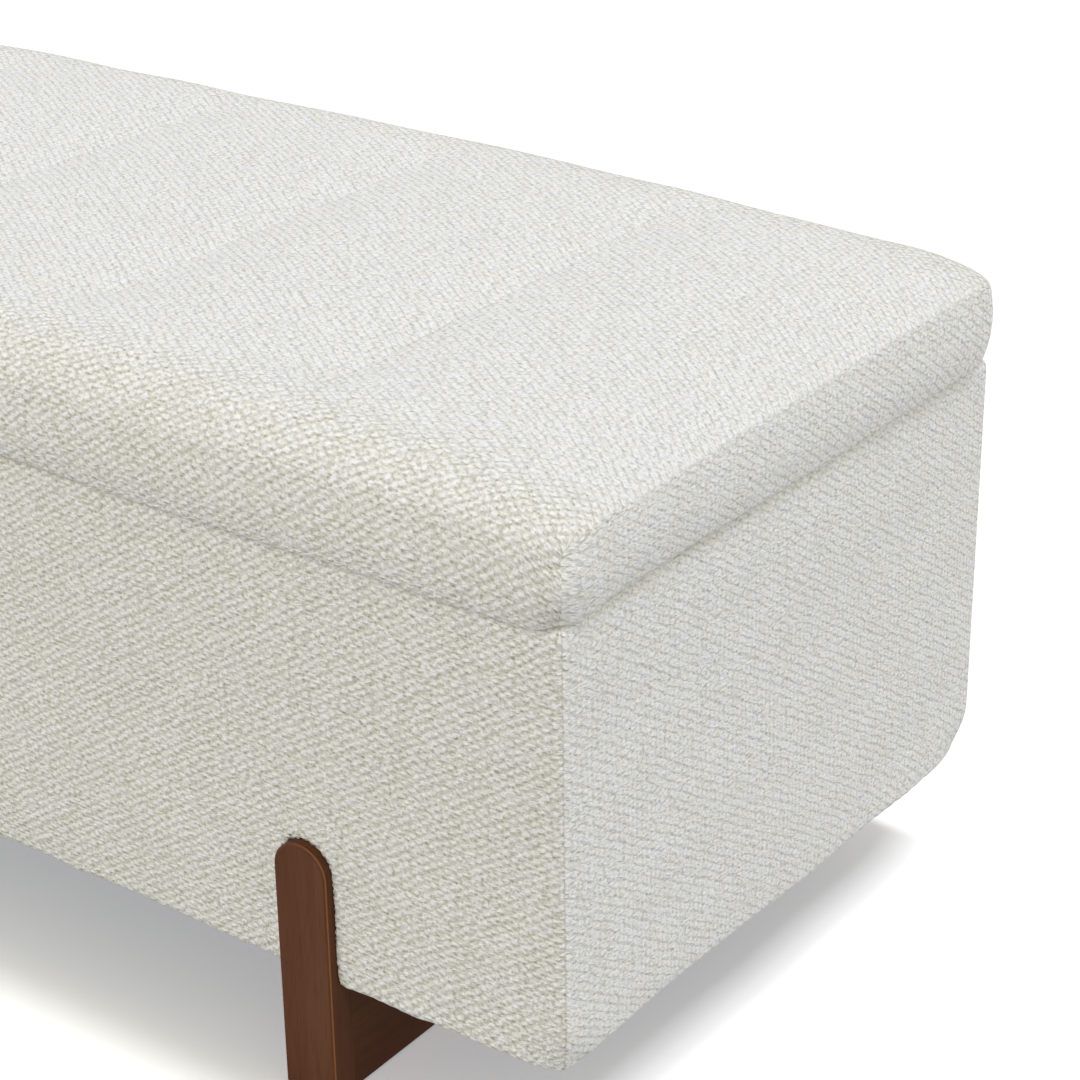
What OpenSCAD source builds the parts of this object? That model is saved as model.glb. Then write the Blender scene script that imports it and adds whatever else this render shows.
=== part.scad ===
// Storage ottoman: an upholstered plywood box on two wooden cradle legs, closed by a
// channel-stitched padded lid that turns on three butt hinges and is lifted by two gas struts.
// Millimetres. +X is to the right, +Y to the back, +Z up.
// The origin is on the floor, under the middle of the ottoman, with the lid closed.

/* [Box] */
// Width of the box over its fabric
box_w = 1220; // [1060:10:1340]
// Depth of the box over its fabric
box_d = 480; // [440:5:540]
// Height of the box, from its underside to its rim
box_h = 287; // [270:1:330]
// Radius of the sewn upright corners
box_corner_r = 12; // [11:0.5:20]
// Thickness of the plywood walls
wall_t = 15; // [12:1:20]
// Thickness of the plywood floor of the box
base_t = 12; // [9:1:18]
// Leg length of the triangular corner blocks
block_s = 20; // [12:1:22]
// Side of the square cleats along the foot of the walls
cleat_s = 18; // [10:1:22]

/* [Upholstery] */
// Thickness of the foam on the walls and on the edge of the lid
foam_t = 8; // [5:0.5:12]
// Thickness of the woven cover
fabric_t = 2; // [1:0.25:2.5]
// Width of the cover turned under the box
base_hem_w = 30; // [20:1:40]
// Depth of the cover turned down inside the rim
rim_hem_h = 25; // [15:1:40]
// Thickness of the lining cloth and of the dust cover
lining_t = 1; // [0.5:0.25:1.5]
// Distance of the dust cover's edge from the box's faces
dust_inset = 15; // [12:1:19]

/* [Legs] */
// Height of the box's underside over the floor
leg_clear = 83; // [70:1:110]
// Width of the posts and runners
leg_w = 40; // [30:1:50]
// Height that the posts rise over the box's underside
leg_rise = 95; // [86:1:110]
// Distance from the end of the box to the legs
leg_inset = 168.5; // [130:0.5:230]
// How far the posts stand out of the fabric
leg_proud = 9; // [5:0.5:14]
// Width of the bevel round the posts' outer faces
leg_bevel = 1.5; // [0.5:0.25:3]
// Clearance between a post and the cover cut round it
slot_gap = 0.3; // [0.1:0.1:1]
// Thickness of the felt floor pads
pad_t = 2; // [1:0.5:4]
// Length of the felt floor pads
pad_l = 60; // [30:5:90]
// Margin left round the felt floor pads
pad_margin = 3; // [1:0.5:6]
// Radius of the dowels between the runners and the posts
dowel_r = 4; // [3:0.5:5]
// Depth of the dowels in the posts
dowel_in_post = 12; // [8:1:13]
// Depth of the dowels in the runners
dowel_in_runner = 18; // [10:1:30]
// Distance between the two dowels of a joint
dowel_pitch = 36; // [24:1:44]

/* [Leg bolts] */
// Radius of the leg bolts' shanks
bolt_r = 3; // [2.5:0.25:4]
// Radius of the leg bolts' flat heads
bolt_head_r = 8; // [6:0.5:9]
// Height of the leg bolts' heads
bolt_head_h = 3; // [2.5:0.25:5]
// Radius of the threaded inserts in the legs
insert_r = 5; // [4.5:0.25:6]
// Length of the threaded inserts
insert_l = 12; // [9:0.5:13]
// Distance between the two bolts of a post
post_bolt_pitch = 25; // [18:1:28]
// Distance between the bolts of a runner
runner_bolt_pitch = 140; // [80:5:165]

/* [Lid] */
// How far the lid stands out over the box's front and ends
lid_over = 7; // [2:0.5:12]
// Gap between the rim of the box and the closed lid
lid_gap = 4; // [3.5:0.25:6]
// Height of the lid's crown over its underside
lid_crown = 82; // [70:1:100]
// Height of the seam at the top of the end boxing
lid_side_h = 54; // [44:1:60]
// Width over which each end falls from the crown to the boxing seam
end_fall_w = 70; // [50:1:90]
// Fall of the top from the middle to the front and back shoulders
depth_fall = 6; // [3:0.5:10]
// Radius of the front and back shoulders
shoulder_r = 34; // [24:1:40]
// Radius of the lid's upright corners
lid_corner_r = 34; // [26:1:45]
// Radius of the lid's lower edge
lid_edge_r = 6; // [4:0.5:8]
// Number of stitched channels across the top
channels = 6; // [4:1:8]
// Depth of the stitched valleys between the channels
channel_dip = 5; // [2:0.5:8]
// Thickness of the plywood lid board
board_t = 15; // [12:1:18]
// Width of the cover turned under the lid
lid_hem_w = 35; // [30:1:40]
// Width of the battens under the lid board
batten_w = 40; // [30:1:60]
// Thickness of the battens under the lid board
batten_t = 18; // [12:1:22]
// Distance between the battens
batten_pitch = 330; // [260:10:380]
// Gap between a batten's ends and the turned-down cover
batten_gap = 12; // [8:1:30]
// Radius of the rubber bumpers
bumper_r = 6; // [4:0.5:8]
// Gap left under the bumpers of the closed lid
bumper_gap = 0.3; // [0.2:0.1:1]
// Distance of the front bumpers from the ends of the box
bumper_inset = 90; // [60:5:140]

/* [Hinges] */
// Distance between the three hinges
hinge_pitch = 400; // [340:10:430]
// Length of each hinge
hinge_l = 90; // [80:1:120]
// Thickness of the hinge leaves
leaf_t = 1.2; // [1:0.1:1.4]
// Radius of the hinge pins
hinge_pin_r = 1.6; // [1.2:0.1:2]
// Wall of the rolled knuckles
knuckle_wall = 1.4; // [1:0.1:1.8]
// Number of knuckles on each hinge
knuckles = 5; // [3:2:7]
// Gap between one knuckle and the next
knuckle_gap = 0.3; // [0.2:0.1:0.6]
// Radial clearance of the pins in their bores
pin_fit = 0.05; // [0.02:0.01:0.1]
// Gap between the knuckles and the back of the box
barrel_gap = 0.4; // [0.3:0.1:1]
// Distance between the screws of a hinge leaf
leaf_screw_pitch = 32; // [24:1:36]

/* [Screws] */
// Radius of the hinge screws' shanks
leaf_screw_r = 1.6; // [1.2:0.1:2]
// Length of the hinge screws
leaf_screw_l = 14; // [10:1:15]
// Radius of the wood screws' shanks
screw_r = 2; // [1.5:0.25:2.5]
// Length of the screws that join the walls
wall_screw_l = 40; // [30:1:50]
// Depth that the batten and bracket screws reach into the board or wall
screw_bite = 9; // [6:0.5:11]

/* [Gas struts] */
// Distance of both strut pivots from the hinge axis
strut_arm = 200; // [190:1:215]
// Angle between the two strut pivots seen from the hinge axis, lid closed
strut_apex = 68; // [66:0.5:70]
// Opening angle of the lid
lid_open = 75; // [60:1:76]
// Radius of the strut rods
rod_r = 3; // [2:0.5:3.5]
// Outer radius of the strut tubes
tube_r = 7.5; // [7:0.25:8]
// Wall of the strut tubes
tube_wall = 1.2; // [0.8:0.1:1.5]
// Outer radius of the strut eyes
eye_r = 7.5; // [6.5:0.25:8]
// Width of the strut eyes
eye_w = 9; // [7:0.5:10]
// Radius of the pivot pins
pivot_r = 4; // [3:0.25:4.5]
// Distance from each pivot to the end of its tube or rod
eye_stem = 20; // [18:1:22]
// Length of the rod guide in the mouth of the tube
guide_l = 7; // [5:0.5:7.5]
// Thickness of the bracket plates
bracket_t = 2.5; // [2:0.25:3]
// Width of the bracket plates
bracket_w = 26; // [22:1:27]
// Height of the box brackets
bracket_h = 52; // [48:1:64]
// Distance from the lid's underside down to the lid pivots
lid_pivot_drop = 14; // [13:0.5:18]

/* [Hidden] */

// Circles of furniture size, and of the lid's wide arches
$fn = 64;
wide_fn = 720;
// A cut runs this far past the face that it opens
past = 1;
// Radial clearance of a screw or bolt in the pieces that it only passes through
way_gap = 0.3;
// Radial clearance round a screw, insert or dowel that fits its hole
snug = 0.02;
// Saw clearance at the ends of the short cleats
cleat_gap = 0.5;
// Room between a bolt's head or a bracket and what lies beside it
head_space = 4;
// Distance of the outer screws in a row from the ends of the piece that they hold
screw_margin = 45;

// Levels of the box, from the floor up
dust_z = leg_clear;
hem_z = dust_z + lining_t;
base_z = hem_z + fabric_t;
floor_z = base_z + base_t;
rim_z = leg_clear + box_h;
wall_top_z = rim_z - fabric_t;
lid_z = rim_z + lid_gap;
board_z = lid_z + fabric_t;

// Sizes of the box, from the fabric inwards
padding_t = foam_t + fabric_t;
ply_w = box_w - 2 * padding_t;
ply_d = box_d - 2 * padding_t;
cavity_w = ply_w - 2 * wall_t;
cavity_d = ply_d - 2 * wall_t;
// Depth of the mitred strip that each side of the cover keeps to
mitre_w = padding_t + wall_t + base_hem_w;

// Places of the legs
leg_x = box_w / 2 - leg_inset - leg_w / 2;
post_t = padding_t + leg_proud;
post_top_z = leg_clear + leg_rise;
post_bolt_z = floor_z + cleat_s + bolt_head_r + head_space;
dowel_z = [(leg_clear + pad_t - dowel_pitch) / 2, (leg_clear + pad_t + dowel_pitch) / 2];
wall_screw_pitch = (wall_top_z - floor_z) / 2 - screw_margin;
post_bolt_l = lining_t + wall_t + insert_l;
runner_bolt_l = lining_t + base_t + fabric_t + lining_t + insert_l;

// Sizes of the lid
lid_w = box_w + 2 * lid_over;
lid_d = box_d + lid_over;
lid_y = -lid_over / 2;
channel_w = lid_w / channels;
batten_d = cavity_d - 2 * fabric_t - 2 * batten_gap;
batten_screw_pitch = batten_d / 2 - screw_margin;

// Hinge axis, clear of the back of the box and halfway up the gap
knuckle_r = hinge_pin_r + knuckle_wall;
hinge_y = box_d / 2 + barrel_gap + knuckle_r;
hinge_z = rim_z + lid_gap / 2;
knuckle_l = hinge_l / knuckles;
leaf_edge_y = ply_d / 2 - wall_t;
leaf_screw_y = ply_d / 2 - wall_t / 2;
leaf_screw_head_r = 2 * leaf_screw_r;
leaf_screw_head_h = leaf_t;
screw_head_r = 2 * screw_r;
screw_head_h = screw_r;

// Strut pivots: both lie strut_arm from the hinge axis, so a strut always turns
// through half of the lid's angle and its rod stays in line with its tube
lid_pivot_angle = asin((lid_pivot_drop - lid_gap / 2) / strut_arm);
box_pivot_angle = lid_pivot_angle + strut_apex;
lid_pivot = [hinge_y - strut_arm * cos(lid_pivot_angle), hinge_z - strut_arm * sin(lid_pivot_angle)];
box_pivot = [hinge_y - strut_arm * cos(box_pivot_angle), hinge_z - strut_arm * sin(box_pivot_angle)];
strut_lean = lid_pivot_angle + strut_apex / 2;
closed_l = 2 * strut_arm * sin(strut_apex / 2);
open_l = 2 * strut_arm * sin((strut_apex + lid_open) / 2);
bore_r = tube_r - tube_wall;
tube_end_t = 3;
mouth_gap = 5;
piston_l = 5;
stroke_gap = 0.5;
tube_l = closed_l - 2 * eye_stem - mouth_gap;
// The piston comes up to the guide as the lid reaches its opening angle, and stops it there
rod_l = open_l - eye_stem - tube_l + guide_l + piston_l + stroke_gap;

// Strut plane, and the faces of the brackets beside it
wall_face_x = cavity_w / 2 - lining_t;
bracket_face_x = wall_face_x - bracket_t;
tube_space = 1.5;
strut_x = bracket_face_x - tube_r - tube_space;
clip_t = 0.8;
clip_gap = 0.3;
clip_rim = 2.5;
pin_tip = 1.2;
collar_rim = 1.5;
clip_groove_r = pivot_r - clip_t;
clip_mouth_w = 1.6 * clip_groove_r;
journal_l = eye_w + 2 * clip_gap + clip_t + pin_tip;
bracket_screw_pitch = bracket_h - 4 * head_space;
flange_w = 34;
flange_d = 56;
flange_screw_pitch = 38;
flange_z = board_z - lining_t - bracket_t;
ear_x = strut_x - eye_w / 2 - clip_gap;
box_collar_l = bracket_face_x - strut_x - eye_w / 2 - clip_gap;
lid_collar_l = clip_gap;

wood_stain = [0.42, 0.26, 0.18];
weave = [0.87, 0.86, 0.83];
plywood = [0.80, 0.66, 0.46];
dowel_wood = [0.85, 0.72, 0.52];
foam = [0.93, 0.89, 0.70];
felt = [0.25, 0.22, 0.20];
brass = [0.78, 0.62, 0.32];
steel = [0.72, 0.73, 0.75];
black = [0.09, 0.09, 0.10];

// ---- Shared outlines ----

// Rectangle with round corners, centred on the origin
module round_rect(w, d, r) {
    square([w - 2 * r, d], center = true);
    square([w, d - 2 * r], center = true);
    for (x = [-1, 1], y = [-1, 1])
        translate([x * (w / 2 - r), y * (d / 2 - r)]) circle(r);
}

// Strip along one side of a w by d rectangle, mitred at both corners
module mitred_strip(w, d, depth) {
    inner = w / 2 - depth;
    polygon([[-w / 2, -d / 2], [w / 2, -d / 2], [inner, depth - d / 2], [-inner, depth - d / 2]]);
}

// The part of the children that belongs to one side: 0 front, 1 right end, 2 back, 3 left end
module side_of_box(side, w, d, depth) {
    intersection() {
        children();
        rotate(90 * side) linear_extrude(rim_z + lid_crown)
            mitred_strip(side % 2 == 0 ? w : d, side % 2 == 0 ? d : w, depth);
    }
}

// ---- Fasteners ----

// Countersunk screw: its head is flush with z = 0 and its shank points down
module countersunk_screw(r, head_r, head_h, length, gap = 0) {
    translate([0, 0, -head_h]) cylinder(r1 = r + gap, r2 = head_r + gap, h = head_h);
    translate([0, 0, -length]) cylinder(r = r + gap, h = length - head_h);
}

// What a countersunk screw takes out of the pieces that it passes through
module countersunk_hole(r, head_r, head_h, length) {
    countersunk_screw(r, head_r, head_h, length, snug);
    cylinder(r = head_r + snug, h = past);
}

module wood_screw(length) {
    countersunk_screw(screw_r, screw_head_r, screw_head_h, length);
}

module wood_screw_hole(length) {
    countersunk_hole(screw_r, screw_head_r, screw_head_h, length);
}

module leaf_screw() {
    countersunk_screw(leaf_screw_r, leaf_screw_head_r, leaf_screw_head_h, leaf_screw_l);
}

module leaf_screw_hole() {
    countersunk_hole(leaf_screw_r, leaf_screw_head_r, leaf_screw_head_h, leaf_screw_l);
}

// Flat-headed bolt with a hexagon socket: its head stands on z = 0 and its shank points down
module leg_bolt(length) {
    socket_h = 0.6 * bolt_head_h;
    difference() {
        cylinder(r = bolt_head_r, h = bolt_head_h);
        translate([0, 0, bolt_head_h - socket_h]) cylinder(r = bolt_r, h = socket_h + past, $fn = 6);
    }
    translate([0, 0, -length]) cylinder(r = bolt_r, h = length);
}

// Threaded insert at the far end of a leg bolt
module leg_insert(length) {
    translate([0, 0, -length]) difference() {
        cylinder(r = insert_r, h = insert_l);
        translate([0, 0, -past]) cylinder(r = bolt_r + snug, h = insert_l + 2 * past);
    }
}

// What a leg bolt takes out of the wall, floor and lining
module bolt_way(length) {
    translate([0, 0, -length]) cylinder(r = bolt_r + way_gap, h = length + past);
}

// What an insert takes out of its post or runner
module insert_way(length) {
    translate([0, 0, -length]) cylinder(r = insert_r + snug, h = insert_l + past);
}

module at_post_bolts() {
    for (x = [-1, 1], side = [-1, 1], step = [0, 1])
        translate([x * leg_x, side * (cavity_d / 2 - lining_t), post_bolt_z + step * post_bolt_pitch])
            rotate([90 * side, 0, 0]) children();
}

module at_runner_bolts() {
    for (x = [-1, 1], step = [-1 : 1])
        translate([x * leg_x, step * runner_bolt_pitch, floor_z + lining_t]) children();
}

module at_wall_screws() {
    wall_mid_z = (floor_z + wall_top_z) / 2;
    for (x = [-1, 1], side = [-1, 1], step = [-1 : 1])
        translate([x * (cavity_w + wall_t) / 2, side * ply_d / 2, wall_mid_z + step * wall_screw_pitch])
            rotate([-90 * side, 0, 0]) children();
}

// Screws of the hinge leaves: side 1 looks up out of the box's rim, side -1 down out of the lid
module at_leaf_screws(side) {
    leaf_face_z = hinge_z - side * (lid_gap / 2 - leaf_t);
    for (hinge = [-1 : 1], step = [-1 : 1])
        translate([hinge * hinge_pitch + step * leaf_screw_pitch, leaf_screw_y, leaf_face_z])
            rotate([side > 0 ? 0 : 180, 0, 0]) children();
}

module at_box_bracket_screws() {
    for (x = [-1, 1], step = [-0.5, 0.5])
        translate([x * bracket_face_x, box_pivot[0], box_pivot[1] + step * bracket_screw_pitch])
            rotate([0, -90 * x, 0]) children();
}

module at_lid_bracket_screws() {
    flange_mid_x = ear_x - bracket_t - flange_w / 2;
    for (x = [-1, 1], step = [-0.5, 0.5])
        translate([x * flange_mid_x, lid_pivot[0] + step * flange_screw_pitch, flange_z])
            rotate([180, 0, 0]) children();
}

module at_batten_screws() {
    for (batten = [-1 : 1], step = [-1 : 1])
        translate([batten * batten_pitch, step * batten_screw_pitch, board_z - lining_t - batten_t])
            rotate([180, 0, 0]) children();
}

// ---- Box carcass ----

module long_panel(side) {
    color(plywood) difference() {
        translate([-ply_w / 2, side > 0 ? leaf_edge_y : -ply_d / 2, floor_z])
            cube([ply_w, wall_t, wall_top_z - floor_z]);
        at_post_bolts() bolt_way(post_bolt_l);
        at_wall_screws() wood_screw_hole(wall_screw_l);
        at_leaf_screws(1) leaf_screw_hole();
    }
}

module end_panel(side) {
    color(plywood) difference() {
        translate([side > 0 ? cavity_w / 2 : -ply_w / 2, -cavity_d / 2, floor_z])
            cube([wall_t, cavity_d, wall_top_z - floor_z]);
        at_wall_screws() wood_screw_hole(wall_screw_l);
        at_box_bracket_screws() wood_screw_hole(bracket_t + lining_t + screw_bite);
    }
}

module bottom_panel() {
    color(plywood) difference() {
        translate([-ply_w / 2, -ply_d / 2, base_z]) cube([ply_w, ply_d, base_t]);
        at_runner_bolts() bolt_way(runner_bolt_l);
    }
}

// Triangular glue blocks in the upright corners, standing on the cleats
module corner_blocks() {
    color(plywood) for (x = [0, 1], y = [0, 1])
        mirror([x, 0, 0]) mirror([0, y, 0]) translate([cavity_w / 2, cavity_d / 2, floor_z + cleat_s])
            linear_extrude(wall_top_z - rim_hem_h - floor_z - cleat_s)
                polygon([[0, 0], [-block_s, 0], [0, -block_s]]);
}

// Glue cleats along the foot of the four walls, the short ones cut to fit between the long ones
module bottom_cleats() {
    short_l = cavity_d - 2 * cleat_s - 2 * cleat_gap;
    color(plywood) for (side = [-1, 1]) {
        translate([-cavity_w / 2, side > 0 ? cavity_d / 2 - cleat_s : -cavity_d / 2, floor_z])
            cube([cavity_w, cleat_s, cleat_s]);
        translate([side > 0 ? cavity_w / 2 - cleat_s : -cavity_w / 2, -short_l / 2, floor_z])
            cube([cleat_s, short_l, cleat_s]);
    }
}

module wall_screws() {
    color(steel) at_wall_screws() wood_screw(wall_screw_l);
}

// ---- Box upholstery ----

// Places children against the plywood at each post, with +Y pointing out of the box
module at_legs() {
    for (x = [-1, 1], side = [0, 1])
        mirror([0, side, 0]) translate([x * leg_x, ply_d / 2, 0]) children();
}

// Outline of a post from the underside of the box to its round top, cut through the padding
module leg_slots() {
    at_legs() rotate([-90, 0, 0]) linear_extrude(padding_t + past) {
        translate([-leg_w / 2 - slot_gap, leg_w / 2 - post_top_z])
            square([leg_w + 2 * slot_gap, leg_rise + past]);
        translate([0, leg_w / 2 - post_top_z]) circle(leg_w / 2 + slot_gap);
    }
}

// Foam wrap between the plywood and the cover
module foam_wrap() {
    difference() {
        translate([0, 0, base_z]) linear_extrude(wall_top_z - base_z)
            round_rect(box_w - 2 * fabric_t, box_d - 2 * fabric_t, box_corner_r - fabric_t);
        translate([-ply_w / 2, -ply_d / 2, 0]) cube([ply_w, ply_d, rim_z]);
        leg_slots();
    }
}

module box_foam(side) {
    color(foam) side_of_box(side, box_w, box_d, mitre_w) foam_wrap();
}

// Woven skin: up the faces, over the rim, down inside it, and turned in under the box
module woven_skin() {
    difference() {
        translate([0, 0, hem_z]) linear_extrude(rim_z - hem_z) round_rect(box_w, box_d, box_corner_r);
        translate([0, 0, base_z]) linear_extrude(wall_top_z - base_z)
            difference() {
                round_rect(box_w - 2 * fabric_t, box_d - 2 * fabric_t, box_corner_r - fabric_t);
                square([cavity_w, cavity_d], center = true);
            }
        translate([0, 0, base_z]) linear_extrude(wall_top_z - rim_hem_h - base_z)
            square([cavity_w + past, cavity_d + past], center = true);
        translate([0, 0, hem_z - past]) linear_extrude(fabric_t + 2 * past)
            square([ply_w - 2 * base_hem_w, ply_d - 2 * base_hem_w], center = true);
        translate([0, 0, base_z]) linear_extrude(rim_z - base_z + past)
            square([cavity_w - 2 * fabric_t, cavity_d - 2 * fabric_t], center = true);
        leg_slots();
        at_leaf_screws(1) leaf_screw_hole();
    }
}

module box_cover(side) {
    color(weave) side_of_box(side, box_w, box_d, mitre_w) woven_skin();
}

// Thin cloth that closes the underside over the turned-in cover
module dust_cover() {
    color(black) difference() {
        translate([0, 0, dust_z]) linear_extrude(lining_t)
            square([box_w - 2 * dust_inset, box_d - 2 * dust_inset], center = true);
        at_runner_bolts() bolt_way(runner_bolt_l);
    }
}

// Lining sheets on the walls and the floor of the storage space
module box_lining() {
    low_z = floor_z + cleat_s;
    high_z = wall_top_z - rim_hem_h;
    color(black) difference() {
        union() {
            for (side = [-1, 1]) {
                translate([block_s - cavity_w / 2, side > 0 ? cavity_d / 2 - lining_t : -cavity_d / 2, low_z])
                    cube([cavity_w - 2 * block_s, lining_t, high_z - low_z]);
                translate([side > 0 ? wall_face_x : -cavity_w / 2, block_s - cavity_d / 2, low_z])
                    cube([lining_t, cavity_d - 2 * block_s, high_z - low_z]);
            }
            translate([cleat_s - cavity_w / 2, cleat_s - cavity_d / 2, floor_z])
                cube([cavity_w - 2 * cleat_s, cavity_d - 2 * cleat_s, lining_t]);
        }
        at_post_bolts() bolt_way(post_bolt_l);
        at_runner_bolts() bolt_way(runner_bolt_l);
        at_box_bracket_screws() wood_screw_hole(bracket_t + lining_t + screw_bite);
    }
}

// ---- Legs ----

module leg_dowel(gap = 0) {
    for (z = dowel_z)
        translate([0, -dowel_in_runner - gap, z]) rotate([-90, 0, 0])
            cylinder(r = dowel_r + gap, h = dowel_in_runner + dowel_in_post + 2 * gap);
}

// Runner under the box, between the front and back posts
module runner(side) {
    color(wood_stain) difference() {
        translate([side * leg_x - leg_w / 2, -ply_d / 2, pad_t]) cube([leg_w, ply_d, leg_clear - pad_t]);
        at_runner_bolts() insert_way(runner_bolt_l);
        at_legs() leg_dowel(snug);
    }
}

// Post with a round top and a bevel round its outer face, drawn against the plane y = 0
module post_form() {
    straight_h = post_top_z - leg_w / 2 - pad_t;
    flat_t = post_t - leg_bevel;
    translate([0, 0, pad_t + straight_h]) rotate([-90, 0, 0]) {
        cylinder(r = leg_w / 2, h = flat_t);
        translate([0, 0, flat_t]) cylinder(r1 = leg_w / 2, r2 = leg_w / 2 - leg_bevel, h = leg_bevel);
    }
    translate([0, 0, pad_t]) linear_extrude(straight_h)
        polygon([
            [-leg_w / 2, 0], [leg_w / 2, 0], [leg_w / 2, flat_t], [leg_w / 2 - leg_bevel, post_t],
            [leg_bevel - leg_w / 2, post_t], [-leg_w / 2, flat_t]
        ]);
}

module post(x, side) {
    color(wood_stain) difference() {
        translate([x * leg_x, side * ply_d / 2, 0]) mirror([0, side > 0 ? 0 : 1, 0]) post_form();
        at_post_bolts() insert_way(post_bolt_l);
        at_legs() leg_dowel(snug);
    }
}

module leg_dowels() {
    color(dowel_wood) at_legs() leg_dowel();
}

module leg_inserts() {
    color(brass) {
        at_post_bolts() leg_insert(post_bolt_l);
        at_runner_bolts() leg_insert(runner_bolt_l);
    }
}

module leg_bolts() {
    color(steel) {
        at_post_bolts() leg_bolt(post_bolt_l);
        at_runner_bolts() leg_bolt(runner_bolt_l);
    }
}

// Felt pads under the ends of the legs
module floor_pads() {
    outer_y = ply_d / 2 + post_t - leg_bevel - pad_margin;
    color(felt) for (x = [-1, 1], side = [0, 1])
        mirror([0, side, 0]) translate([x * leg_x - leg_w / 2 + pad_margin, outer_y - pad_l, 0])
            cube([leg_w - 2 * pad_margin, pad_l, pad_t]);
}

// ---- Hinges ----

// Knuckle number i of a hinge, along X from the hinge's left end
module knuckle(i) {
    translate([(i - knuckles / 2) * knuckle_l + knuckle_gap / 2, 0, 0]) rotate([0, 90, 0])
        cylinder(r = knuckle_r, h = knuckle_l - knuckle_gap);
}

// Leaf with every second knuckle; side 1 is screwed to the box and side -1 to the lid
module hinge_leaf(side) {
    first = side > 0 ? 0 : 1;
    plate_z = side > 0 ? -lid_gap / 2 : lid_gap / 2 - leaf_t;
    tab_d = knuckle_r + 2 * barrel_gap;
    difference() {
        union() {
            translate([-hinge_l / 2, leaf_edge_y - hinge_y, plate_z])
                cube([hinge_l, hinge_y - leaf_edge_y - knuckle_r - barrel_gap, leaf_t]);
            for (i = [first : 2 : knuckles - 1]) {
                knuckle(i);
                translate([(i - knuckles / 2) * knuckle_l + knuckle_gap / 2, -tab_d, plate_z])
                    cube([knuckle_l - knuckle_gap, tab_d, leaf_t]);
            }
        }
        translate([-hinge_l / 2 - past, 0, 0]) rotate([0, 90, 0])
            cylinder(r = hinge_pin_r + pin_fit, h = hinge_l + 2 * past);
    }
}

module at_hinges() {
    for (hinge = [-1 : 1]) translate([hinge * hinge_pitch, hinge_y, hinge_z]) children();
}

module hinge_leaves(side) {
    color(steel) difference() {
        at_hinges() hinge_leaf(side);
        at_leaf_screws(side) leaf_screw_hole();
    }
}

// Pins with a thin head at each end
module hinge_pins() {
    head_t = 1;
    color(steel) at_hinges() rotate([0, 90, 0]) {
        translate([0, 0, -hinge_l / 2 - head_t]) cylinder(r = hinge_pin_r, h = hinge_l + 2 * head_t);
        for (end = [0, 1]) mirror([0, 0, end]) translate([0, 0, hinge_l / 2])
            cylinder(r1 = knuckle_r, r2 = hinge_pin_r, h = head_t);
    }
}

module leaf_screws(side) {
    color(steel) at_leaf_screws(side) leaf_screw();
}

// ---- Gas struts ----

// Puts children drawn along +Z from the box pivot, or from the lid pivot, onto the closed strut
module on_strut(side, pivot, turn) {
    translate([side * strut_x, pivot[0], pivot[1]]) rotate([strut_lean + turn, 0, 0]) children();
}

// Eye on a tapered neck, with its bore along X
module strut_eye() {
    color(black) difference() {
        union() {
            translate([-eye_w / 2, 0, 0]) rotate([0, 90, 0]) cylinder(r = eye_r, h = eye_w);
            cylinder(r1 = eye_w / 2, r2 = tube_r - 2 * tube_wall, h = eye_stem);
        }
        translate([-eye_w / 2 - past, 0, 0]) rotate([0, 90, 0])
            cylinder(r = pivot_r + pin_fit, h = eye_w + 2 * past);
    }
}

module strut_tube(side) {
    crimp = 2 * tube_wall;
    color(black) on_strut(side, box_pivot, 0) translate([0, 0, eye_stem]) difference() {
        union() {
            cylinder(r1 = tube_r - tube_wall, r2 = tube_r, h = crimp);
            translate([0, 0, crimp]) cylinder(r = tube_r, h = tube_l - crimp);
        }
        translate([0, 0, tube_end_t]) cylinder(r = bore_r, h = tube_l);
    }
}

// Guide and wiper ring in the mouth of the tube
module strut_guide(side) {
    lip_t = 1.5;
    color(steel) on_strut(side, box_pivot, 0) translate([0, 0, eye_stem + tube_l]) difference() {
        union() {
            translate([0, 0, -guide_l]) cylinder(r = bore_r, h = guide_l);
            cylinder(r1 = tube_r - tube_wall / 2, r2 = tube_r - tube_wall, h = lip_t);
        }
        translate([0, 0, -guide_l - past]) cylinder(r = rod_r + pin_fit, h = guide_l + lip_t + 2 * past);
    }
}

// Rod with its piston, drawn from the lid pivot down the strut
module strut_rod(side) {
    color(steel) on_strut(side, lid_pivot, 180) translate([0, 0, eye_stem]) {
        cylinder(r = rod_r, h = rod_l - eye_stem);
        translate([0, 0, rod_l - eye_stem - piston_l]) cylinder(r = bore_r - pin_fit, h = piston_l);
    }
}

module strut_tube_eye(side) {
    on_strut(side, box_pivot, 0) strut_eye();
}

module strut_rod_eye(side) {
    on_strut(side, lid_pivot, 180) strut_eye();
}

// Pivot pin along +X: a collar up to the eye, then the journal with the clip's groove
module pivot_pin(collar_l) {
    groove_x = collar_l + eye_w + 2 * clip_gap;
    rotate([0, 90, 0]) difference() {
        union() {
            cylinder(r = pivot_r + collar_rim, h = collar_l);
            cylinder(r = pivot_r, h = collar_l + journal_l);
        }
        translate([0, 0, groove_x - clip_gap / 2]) difference() {
            cylinder(r = pivot_r + past, h = clip_t + clip_gap);
            translate([0, 0, -past]) cylinder(r = clip_groove_r, h = clip_t + clip_gap + 2 * past);
        }
    }
}

// Open ring that snaps into the pin's groove
module pivot_clip(collar_l) {
    translate([collar_l + eye_w + 2 * clip_gap, 0, 0]) rotate([0, 90, 0]) difference() {
        cylinder(r = pivot_r + clip_rim, h = clip_t);
        translate([0, 0, -past]) cylinder(r = clip_groove_r + snug, h = clip_t + 2 * past);
        translate([0, -clip_mouth_w / 2, -past])
            cube([pivot_r + clip_rim + past, clip_mouth_w, clip_t + 2 * past]);
    }
}

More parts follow.
